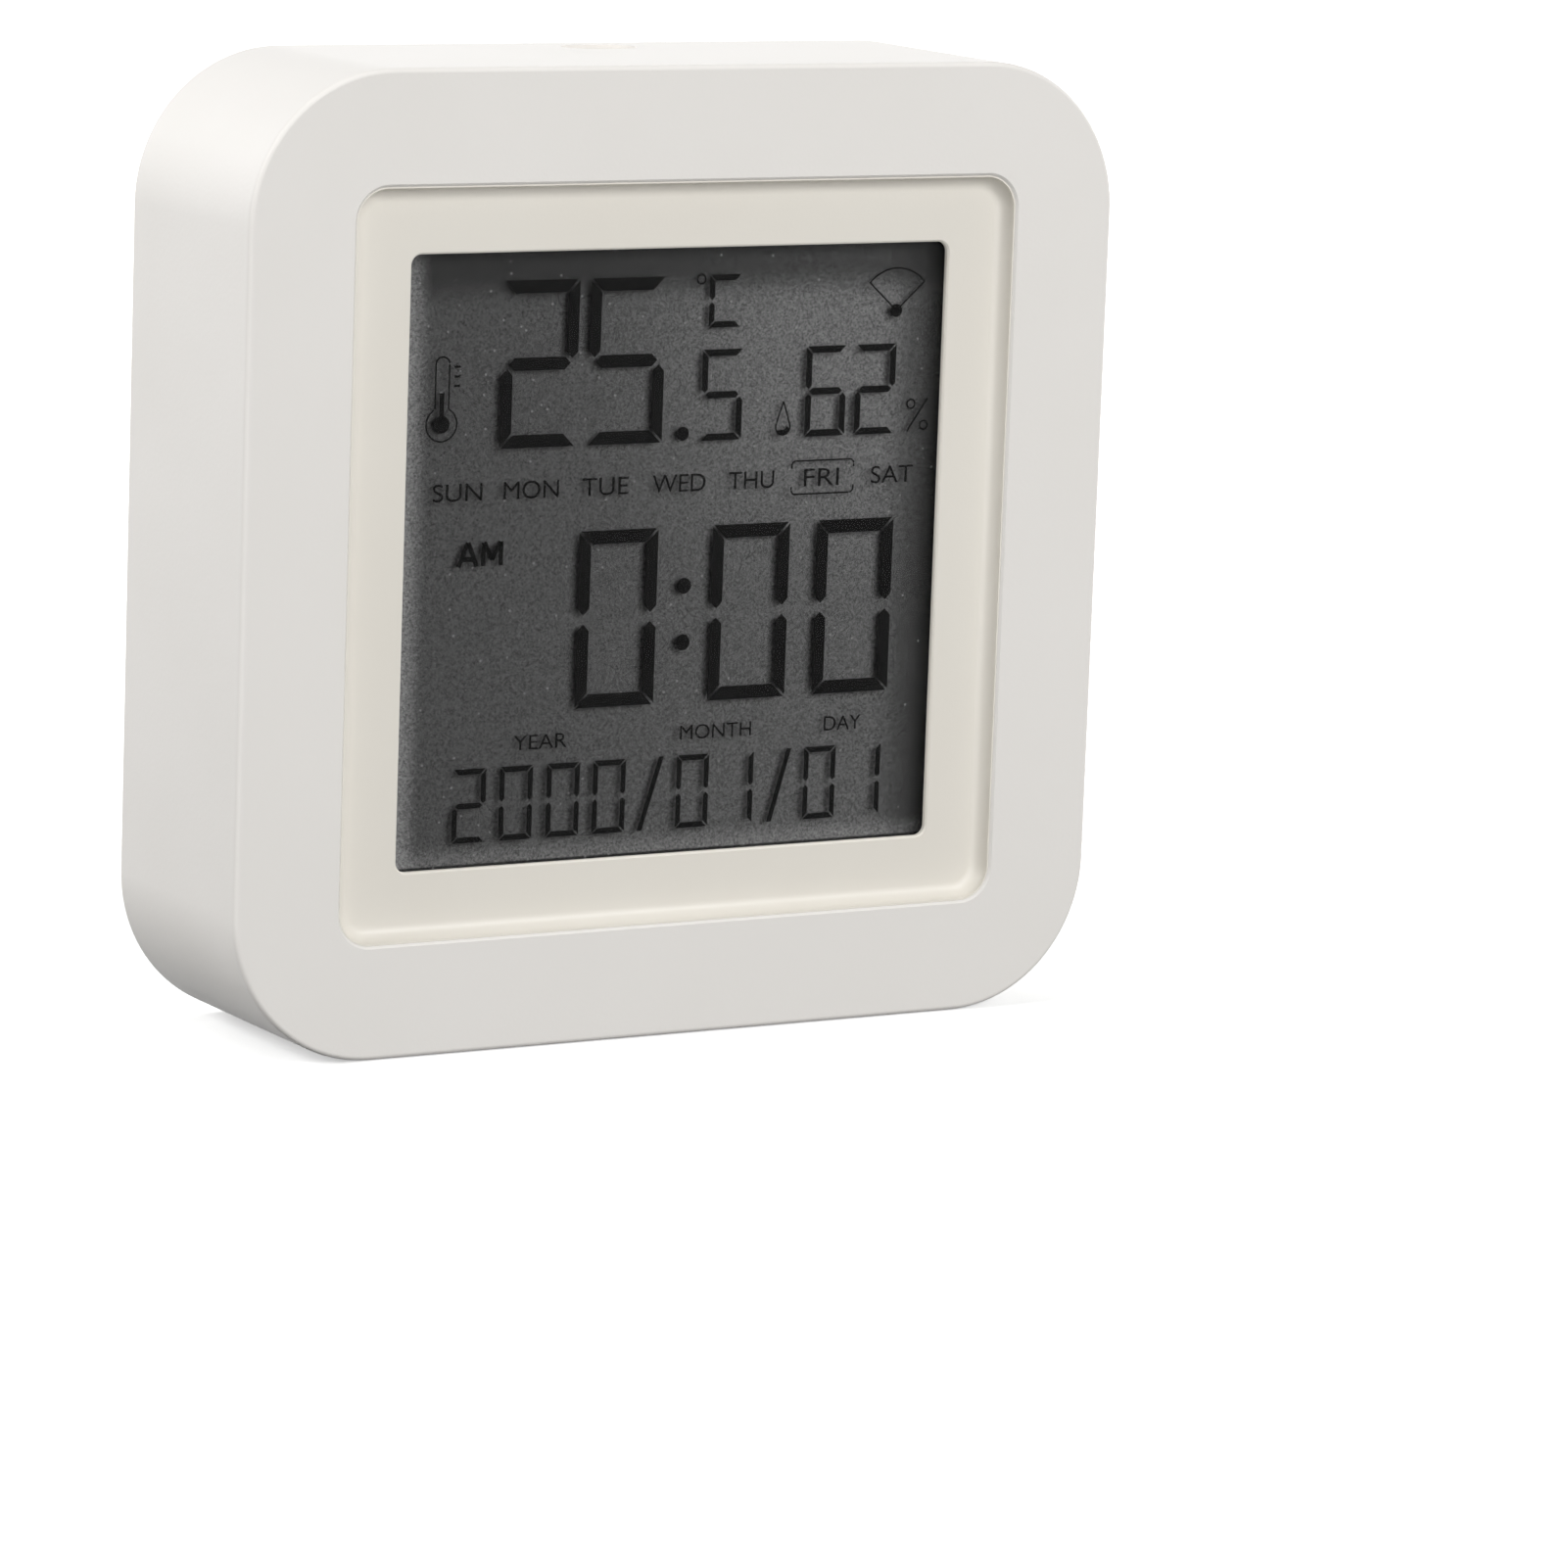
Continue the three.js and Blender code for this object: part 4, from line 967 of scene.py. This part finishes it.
DROP, DROP_TOP = (50.1, 50.0), 52.1
drop = [arc(*DROP, 0.74, 150, 390), stroke(DROP[0] - 0.62, DROP[1] + 0.33, DROP[0], DROP_TOP),
        stroke(DROP[0] + 0.62, DROP[1] + 0.33, DROP[0], DROP_TOP), arc(*DROP, 0.6, 190, 330, 0.42)]

SIGNAL = (60.6, 59.35)
SIGNAL_REACH, SIGNAL_HALF = 3.6, 48
edge_x = SIGNAL_REACH * math.sin(math.radians(SIGNAL_HALF))
edge_z = SIGNAL_REACH * math.cos(math.radians(SIGNAL_HALF))
signal = [dot(*SIGNAL, 0.55), arc(*SIGNAL, SIGNAL_REACH, 90 - SIGNAL_HALF, 90 + SIGNAL_HALF),
          stroke(*SIGNAL, SIGNAL[0] + edge_x, SIGNAL[1] + edge_z),
          stroke(*SIGNAL, SIGNAL[0] - edge_x, SIGNAL[1] + edge_z)]

# the morning mark is bolder than the other words
MARK_FOOT, MARK_TOP, MARK_LINE = 39.6, 41.55, 0.4
mark = [stroke(x0, z0, x1, z1, MARK_LINE) for x0, z0, x1, z1 in (
    (20.3, MARK_FOOT, 21.12, MARK_TOP), (21.98, MARK_FOOT, 21.16, MARK_TOP), (20.6, 40.2, 21.7, 40.2),
    (22.55, MARK_FOOT, 22.55, MARK_TOP), (24.15, MARK_FOOT, 24.15, MARK_TOP),
    (22.6, MARK_TOP, 23.38, 40.1), (24.1, MARK_TOP, 23.32, 40.1))]
percent = [ring(62.35, 51.5, 0.44), ring(63.65, 49.7, 0.44), stroke(62.05, 49.2, 63.95, 51.95, 0.18)]
degree = [ring(41.95, 62.4, 0.46, 0.16)] + digit("C", 42.75, 58.4, 3.0, 4.35, 0.5, 0.08, 0.2)

FRAME_LEFT, FRAME_RIGHT, FRAME_FOOT, FRAME_TOP, FRAME_CORNER = 51.05, 57.1, 44.25, 47.15, 0.45
FRAME_BREAK = 0.75
frame_middle = (FRAME_FOOT + FRAME_TOP) / 2
left_middle, right_middle = FRAME_LEFT + FRAME_CORNER, FRAME_RIGHT - FRAME_CORNER
day_frame = []
for sign, z, first_turn, second_turn in ((1, FRAME_TOP, 90, 0), (-1, FRAME_FOOT, 180, 270)):
    inner_z, line_z, open_z = z - sign * FRAME_CORNER, z - sign * LINE / 2, frame_middle + sign * FRAME_BREAK
    day_frame.append(stroke(left_middle, line_z, right_middle, line_z))
    day_frame += [stroke(x, inner_z, x, open_z) for x in (FRAME_LEFT + LINE / 2, FRAME_RIGHT - LINE / 2)]
    day_frame += [arc(x, inner_z, FRAME_CORNER, turn, turn + 90)
                  for x, turn in ((left_middle, first_turn), (right_middle, second_turn))]
set_in_glass("icons", thermometer + drop + signal + mark + percent + degree + day_frame)

# %% [markdown]
# Now the finishes. Most pieces are moulded plastic. A mould that is spark-eroded leaves a fine, even
# grain, which scatters the light and makes a matte face, and a polished one leaves a gloss. Real
# plastic is never one flat colour either: it clouds a little over a centimetre or two. The grain is a
# bump. On the real mouldings it is about 0.05 mm across, too fine to show from here, so it is drawn
# between 0.15 and 1.2 mm.

# %% Moulded plastics
CLOUD_MM, GLOSS_SPREAD, GRAIN_HEIGHT, SHEEN_ROUGHNESS = 14, 0.06, 0.02, 0.35


def coat(material, colours, mask, settings, relief=None, roughness=None):
    """Closes a material whose two colours are mixed by a mask. A relief is the strength of a bump, its
    height in mm and the pattern that it raises, and a roughness is the range that the mask runs through."""
    tree = material.node_tree
    first, second = (linear(code) for code in colours)
    tint = add_node(tree, "Mix", {"data_type": "RGBA", 6: first, 7: second}, {0: mask})
    links = {"Base Color": tint.outputs[2]}
    if roughness:
        dull = add_node(tree, "MapRange", {"To Min": roughness[0], "To Max": roughness[1]}, {"Value": mask})
        links["Roughness"] = dull.outputs["Result"]
    if relief:
        strength, height, pattern = relief
        bump = add_node(tree, "Bump", {"Strength": strength, "Distance": height * MM}, {"Height": pattern})
        links["Normal"] = bump.outputs["Normal"]
    return close_material(material, add_node(tree, "BsdfPrincipled", settings, links))


def moulded(name, colour, cloud, roughness, grain_mm, grain_depth, ior, sheen=0.0):
    """A moulded plastic: its colour clouds towards a second one, and its mould's grain is a bump."""
    material, tree, place = new_material(name)
    clouds = add_node(tree, "TexNoise", {"Scale": 1 / (CLOUD_MM * MM), "Detail": 3.0, "Roughness": 0.55},
                      {"Vector": place})
    grain = add_node(tree, "TexNoise", {"Scale": 1 / (grain_mm * MM), "Detail": 2.0}, {"Vector": place})
    return coat(material, (colour, cloud), clouds.outputs["Fac"],
                {"IOR": ior, "Sheen Weight": sheen, "Sheen Roughness": SHEEN_ROUGHNESS},
                (grain_depth, GRAIN_HEIGHT, grain.outputs["Fac"]),
                (roughness - GLOSS_SPREAD, roughness + GLOSS_SPREAD))


finish = {
    # ABS from a spark-eroded mould: warm white, and matte enough to hide fingerprints
    "casing": moulded("spark-eroded white ABS", "#EBE8E4", "#E8E5E0", 0.56, 0.35, 0.5, 1.54, sheen=0.25),
    # ABS with a cream pigment and a finer grain: a soft shine gathers in the tray's hollow
    "bezel": moulded("cream ABS", "#E6E2D9", "#E2DDD3", 0.42, 0.3, 0.25, 1.54),
    # the same white ABS, but a finger has made it a little smoother
    "button": moulded("white ABS cap", "#E3DFD9", "#DDD8D2", 0.46, 0.25, 0.25, 1.54),
    # ABS with a trace of black pigment: pale grey, so that it is found on the white back
    "set_button": moulded("pale grey ABS cap", "#DDDAD5", "#D6D3CD", 0.5, 0.3, 0.3, 1.54),
    # polystyrene filled with white pigment: it throws the backlight forwards and looks chalky
    "carrier": moulded("white-filled polystyrene", "#F4F4F2", "#EEEEEB", 0.5, 0.4, 0.2, 1.59),
    # nylon with glass fibre: near black, with a dry, slightly fibrous face
    "switch": moulded("black glass-filled nylon", "#29292B", "#323234", 0.52, 0.2, 0.5, 1.53),
    # epoxy with quartz powder, pressed in a blasted mould: dull black with a faint sparkle
    "chip": moulded("black epoxy package", "#242426", "#2F2F31", 0.62, 0.15, 0.6, 1.55),
    # acetal is waxy, so the plunger shines softly
    "plunger": moulded("brick red acetal", "#AB4A31", "#9C3F29", 0.4, 0.3, 0.1, 1.48),
    # unpigmented nylon: the colour of thin milk, a little uneven
    "connector": moulded("natural nylon", "#F1ECE1", "#E6DFD0", 0.42, 0.5, 0.15, 1.53),
    # soft PVC drawn over the wire: clear colour with a long soft highlight
    "lead_red": moulded("red PVC insulation", "#B5241F", "#A51C18", 0.38, 0.6, 0.15, 1.53),
    "lead_black": moulded("black PVC insulation", "#1D1D1E", "#262627", 0.38, 0.6, 0.15, 1.53),
    # acrylic, frosted by a pattern of dots: white where no light is in it, and glossy
    "light_guide": moulded("frosted acrylic", "#EEF1EF", "#E6EAE7", 0.22, 0.9, 0.2, 1.49),
    # silicone with yellow phosphor in a white cup: a pale yellow, wet-looking drop
    "lamp": moulded("phosphor-filled silicone", "#F4EBB4", "#F7F5EA", 0.3, 1.2, 0.1, 1.41),
    # silicone rubber between striped cores: pink and dull
    "contact_strip": moulded("pink silicone rubber", "#D98FA0", "#CE8090", 0.7, 0.4, 0.3, 1.41),
    # fired alumina: off-white, fine and dry
    "sensor": moulded("fired alumina package", "#ECE8E0", "#DFDAD0", 0.5, 0.2, 0.3, 1.76),
    # polyester film with a silver coat: an even pale grey that is neither mirror nor paint
    "reflector": moulded("silver-coated polyester film", "#C4C6C4", "#B8BAB8", 0.34, 0.5, 0.1, 1.64),
    # blown polyethylene with open cells: white and quite without shine
    "foam": moulded("white foam tape", "#F3F3F1", "#E4E4E1", 0.9, 0.5, 1.0, 1.51),
}
print("moulded finishes", len(finish))

# %% [markdown]
# Metal pieces are few: the socket's and the radio's tinned sheet, zinc-plated screws and the silver
# pouch of the cell. Sheet keeps the fine lines of the rolls that made it, all in one direction, so its
# noise is stretched along one axis. The real lines are some hundredths of a millimetre apart, and they
# are drawn coarser. Plating and pouch are cloudy. The colour of a metal is what it mirrors.

# %% Metals and foils
MARK_STRENGTH, MARK_HEIGHT = 0.25, 0.01
SHINIER, DULLER = 0.08, 0.12


def metal(name, colour, cloud, roughness, stretch, line_mm, metallic=1.0):
    """A metal whose fine marks are stretched along X by the given factor."""
    material, tree, place = new_material(name)
    along = add_node(tree, "Mapping", {"Scale": (1 / stretch, 1, 1)}, {"Vector": place})
    marks = add_node(tree, "TexNoise", {"Scale": 1 / (line_mm * MM), "Detail": 4.0},
                     {"Vector": along.outputs[0]}).outputs["Fac"]
    return coat(material, (colour, cloud), marks, {"Metallic": metallic},
                (MARK_STRENGTH, MARK_HEIGHT, marks), (roughness - SHINIER, roughness + DULLER))


# cold-rolled sheet with a skin of tin: a soft, slightly warm shine, streaked by the rolls
finish["tinned_sheet"] = metal("tinned sheet steel", "#D2D2CF", "#BDBDB8", 0.32, 12, 0.12)
# zinc from a bath: paler and cloudier than bare steel
finish["screw"] = metal("zinc-plated steel", "#C6C7C8", "#AEAFAE", 0.34, 1, 0.5)
# aluminium foil under a thin clear film: silver with broad soft dents
finish["cell"] = metal("aluminium laminate pouch", "#C9CCCF", "#B6B9BD", 0.4, 1, 2.5, 0.85)
print("metal finishes", [finish[slot].name for slot in ("tinned_sheet", "screw", "cell")])

# %% [markdown]
# A circuit board is green glass cloth under solder mask. Copper tracks show through the mask as paler
# green lines, all level or upright, so they are drawn with the joints of a brick pattern. Real tracks
# often lie less than half a millimetre apart, and they are drawn about twice as far apart.

# %% Circuit boards
TRACK_WIDTH, TRACK_LENGTH, TRACK_STRENGTH, TRACK_HEIGHT = 0.16, 4.6, 0.3, 0.03


def circuit_board(name, mask, track, pitch):
    """Solder mask with paler copper tracks under it; the pitch of the tracks is in mm."""
    material, tree, place = new_material(name)
    face = add_node(tree, "Mapping", {"Rotation": UPRIGHT}, {"Vector": place})
    tracks = add_node(tree, "TexBrick",
                      {"Color1": BLACK, "Color2": BLACK, "Mortar": WHITE, "Scale": 1.0,
                       "Mortar Size": TRACK_WIDTH * pitch * MM, "Brick Width": TRACK_LENGTH * pitch * MM,
                       "Row Height": pitch * MM}, {"Vector": face.outputs[0]}).outputs["Fac"]
    return coat(material, (mask, track), tracks, {"Roughness": 0.32, "IOR": 1.55},
                (TRACK_STRENGTH, TRACK_HEIGHT, tracks))


# epoxy lacquer over copper: glossy, with the tracks as paler raised lines
finish["board"] = circuit_board("green solder mask", "#1C5238", "#2C7A52", 1.1)
finish["radio_board"] = circuit_board("blue solder mask", "#15304A", "#234D72", 0.7)
print("board materials", [finish[slot].name for slot in ("board", "radio_board")])

# %% [markdown]
# The display's grey is a rough film behind glass. Its tone is built up by place, step by step, and most of it
# is
# painted light and shade: a painted glare at the upper right, a grey that brightens from left to right,
# partly as a painted reflection, painted shade along the top and on the right, painted light on the left and
# below, and a dark line along the very foot. Grain and small painted glints come on top. Real film has a much
# finer grain, and it is drawn at 0.2 mm.

# %% Display film
# painted glare: the film is drawn lighter round a place at its upper right, as a reflection would make it
PAINTED_GLARE_X, PAINTED_GLARE_Z, PAINTED_GLARE_FROM, PAINTED_GLARE_TO, PAINTED_GLARE_TONE = 17, 59, 3, 28, 0.049
FILM_DEPTH, FILM_GRAIN, PAINTED_GLINT_PITCH = 3.1, 0.2, 1.3
# the rows paint light and shade into the film: a base grey that brightens to the right, partly a painted
# reflection; painted shade at the top and on the right; painted light on the left and at the foot; and a dark
# line along the very foot
# each row: an axis, two places on it in mm, the values there, and how they join the tone so far
FILM_TONES_WITH_PAINTED_LIGHT_AND_SHADE = (
    ("X", -26, 24, 0.062, 0.105, "ADD"), ("Z", 60.0, 63.2, 1.0, 0.27, "MULTIPLY"),
    ("X", 19.7, 24.4, 1.0, 0.26, "MULTIPLY"), ("X", -22.0, -24.4, 0.0, 0.15, "ADD"),
    ("Z", 16.9, 14.8, 0.0, 0.075, "ADD"), ("Z", 15.0, 14.85, 1.0, 0.1, "MULTIPLY"))


def display_film():
    """The grey film, with painted light and shade in its tone and painted glints. It lies against the liquid
    and not in air, so that it hardly reflects.
    """
    material, tree, place = new_material("grey display film")
    axes = add_node(tree, "SeparateXYZ", None, {0: place})
    # the middle of the painted glare
    painted_glare = Vector((PAINTED_GLARE_X, at(FILM_DEPTH), PAINTED_GLARE_Z)) * MM
    from_painted_glare = add_node(tree, "VectorMath", {"operation": "DISTANCE", 1: painted_glare}, {0: place})
    film_tone_with_painted_light = add_node(tree, "MapRange", {"interpolation_type": "SMOOTHSTEP", "From Min": PAINTED_GLARE_FROM * MM,
                                       "From Max": PAINTED_GLARE_TO * MM, "To Min": PAINTED_GLARE_TONE, "To Max": 0.0},
                    {"Value": from_painted_glare.outputs["Value"]}).outputs["Result"]
    # painted shade and painted light by place, one row after another
    for axis, start, end, first, last, joining in FILM_TONES_WITH_PAINTED_LIGHT_AND_SHADE:
        change = add_node(tree, "MapRange", {"interpolation_type": "SMOOTHSTEP", "From Min": start * MM,
                                             "From Max": end * MM, "To Min": first, "To Max": last},
                          {"Value": axes.outputs[axis]})
        film_tone_with_painted_light = add_node(tree, "Math", {"operation": joining},
                        {0: film_tone_with_painted_light, 1: change.outputs["Result"]}).outputs[0]
    grain = add_node(tree, "TexNoise", {"Scale": 1 / (FILM_GRAIN * MM), "Detail": 3.0, "Roughness": 0.8},
                     {"Vector": place})
    uneven = add_node(tree, "MapRange", {"From Min": 0.35, "From Max": 0.65, "To Min": 0.45, "To Max": 1.55},
                      {"Value": grain.outputs["Fac"]})
    grained = add_node(tree, "Math", {"operation": "MULTIPLY"}, {0: film_tone_with_painted_light, 1: uneven.outputs["Result"]})
    grey = add_node(tree, "Mix", {"data_type": "RGBA", 6: BLACK, 7: WHITE}, {0: grained.outputs[0]})
    # painted glints: small lighter spots in the film's colour where single grains would catch the light
    painted_glints = add_node(tree, "TexVoronoi", {"Scale": 1 / (PAINTED_GLINT_PITCH * MM)}, {"Vector": place})
    glint_share = add_node(tree, "MapRange", {"From Min": 0.1, "From Max": 0.06, "To Min": 0.0, "To Max": 0.3},
                   {"Value": painted_glints.outputs["Distance"]})
    glinted = add_node(tree, "Mix", {"data_type": "RGBA", 7: linear("#B4B4B4")},
                       {0: glint_share.outputs["Result"], 6: grey.outputs[2]})
    bump = add_node(tree, "Bump", {"Strength": 0.4, "Distance": 0.02 * MM}, {"Height": grain.outputs["Fac"]})
    return close_material(material, add_node(
        tree, "BsdfPrincipled", {"Roughness": 0.7, "Specular IOR Level": 0.1},
        {"Base Color": glinted.outputs[2], "Normal": bump.outputs["Normal"]}))


# polymer film on a silvered sheet: a dull grey, with a painted glare, painted shade at the top and right,
# painted light on the left and below, and painted glints where single grains would catch the light
finish["display_cell"] = display_film()
print("film tones", len(FILM_TONES_WITH_PAINTED_LIGHT_AND_SHADE))

# %% [markdown]
# The glass in front only adds a soft reflection, because its face is etched against glare. It is a mix
# of a clear pass and a rough gloss, so that lamps reach the film and the dark bars' shadows fall on it.
# The etching is drawn at 0.16 mm, much coarser than the real one.

# %% Display glass and bars
GLASS_ETCH, CRYSTAL_GRAIN = 0.16, 0.3
# glass has an index of 1.52, but etching takes most of the mirror image away, so less is left here
ETCHED_IOR = 1.12


def etched_glass():
    """Glass that lets light straight through and reflects a little of the room, softly."""
    material, tree, place = new_material("etched front glass")
    etch = add_node(tree, "TexNoise", {"Scale": 1 / (GLASS_ETCH * MM), "Detail": 2.0}, {"Vector": place})
    bump = add_node(tree, "Bump", {"Strength": 0.12, "Distance": 0.01 * MM}, {"Height": etch.outputs["Fac"]})
    clear = add_node(tree, "BsdfTransparent", {"Color": (0.97, 0.97, 0.97, 1)})
    speck = add_node(tree, "MapRange", {"From Min": 0.42, "From Max": 0.8, "To Min": 0.0, "To Max": 0.014},
                     {"Value": etch.outputs["Fac"]})
    haze = add_node(tree, "BsdfDiffuse", {"Color": WHITE})
    misty = add_node(tree, "MixShader", None,
                     {0: speck.outputs["Result"], 1: clear.outputs[0], 2: haze.outputs[0]})
    gloss = add_node(tree, "BsdfGlossy", {"Color": WHITE, "Roughness": 0.3},
                     {"Normal": bump.outputs["Normal"]})
    edge = add_node(tree, "Fresnel", {"IOR": ETCHED_IOR})
    return close_material(material, add_node(
        tree, "MixShader", None, {0: edge.outputs[0], 1: misty.outputs[0], 2: gloss.outputs[0]}))


def dark_crystal():
    """The driven crystal between crossed polarisers. Inside the glass it has no shine of its own."""
    material, tree, place = new_material("driven crystal")
    grain = add_node(tree, "TexNoise", {"Scale": 1 / (CRYSTAL_GRAIN * MM), "Detail": 2.0}, {"Vector": place})
    return coat(material, ("#0E0E0E", "#161616"), grain.outputs["Fac"],
                {"Roughness": 0.8, "Specular IOR Level": 0.0})


# acid-etched glass: clear as a window, with a faint milky bloom instead of a reflection
finish["display_glass"] = etched_glass()
# liquid crystal that holds back the light: a flat near-black
crystal = dark_crystal()
print("display materials", finish["display_glass"].name, "and", crystal.name)

# %% [markdown]
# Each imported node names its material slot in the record, so the finishes are handed out by that list.
# Modelled pieces take the finish of the slot that they were given.

# %% Hand out the finishes
slot_of = {row["node"]: row["material_slot"] for row in frame["record"]["subparts"]}
for name, node_object in frame["nodes"].items():
    node_object.data.materials.clear()
    node_object.data.materials.append(finish[slot_of[name]])
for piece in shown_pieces():
    if "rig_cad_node" not in piece:
        piece.data.materials.clear()
        piece.data.materials.append(crystal if piece in display_art else finish[piece["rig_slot"]])
print("finishes in use", len({m.name for m in bpy.data.materials if m.users}))
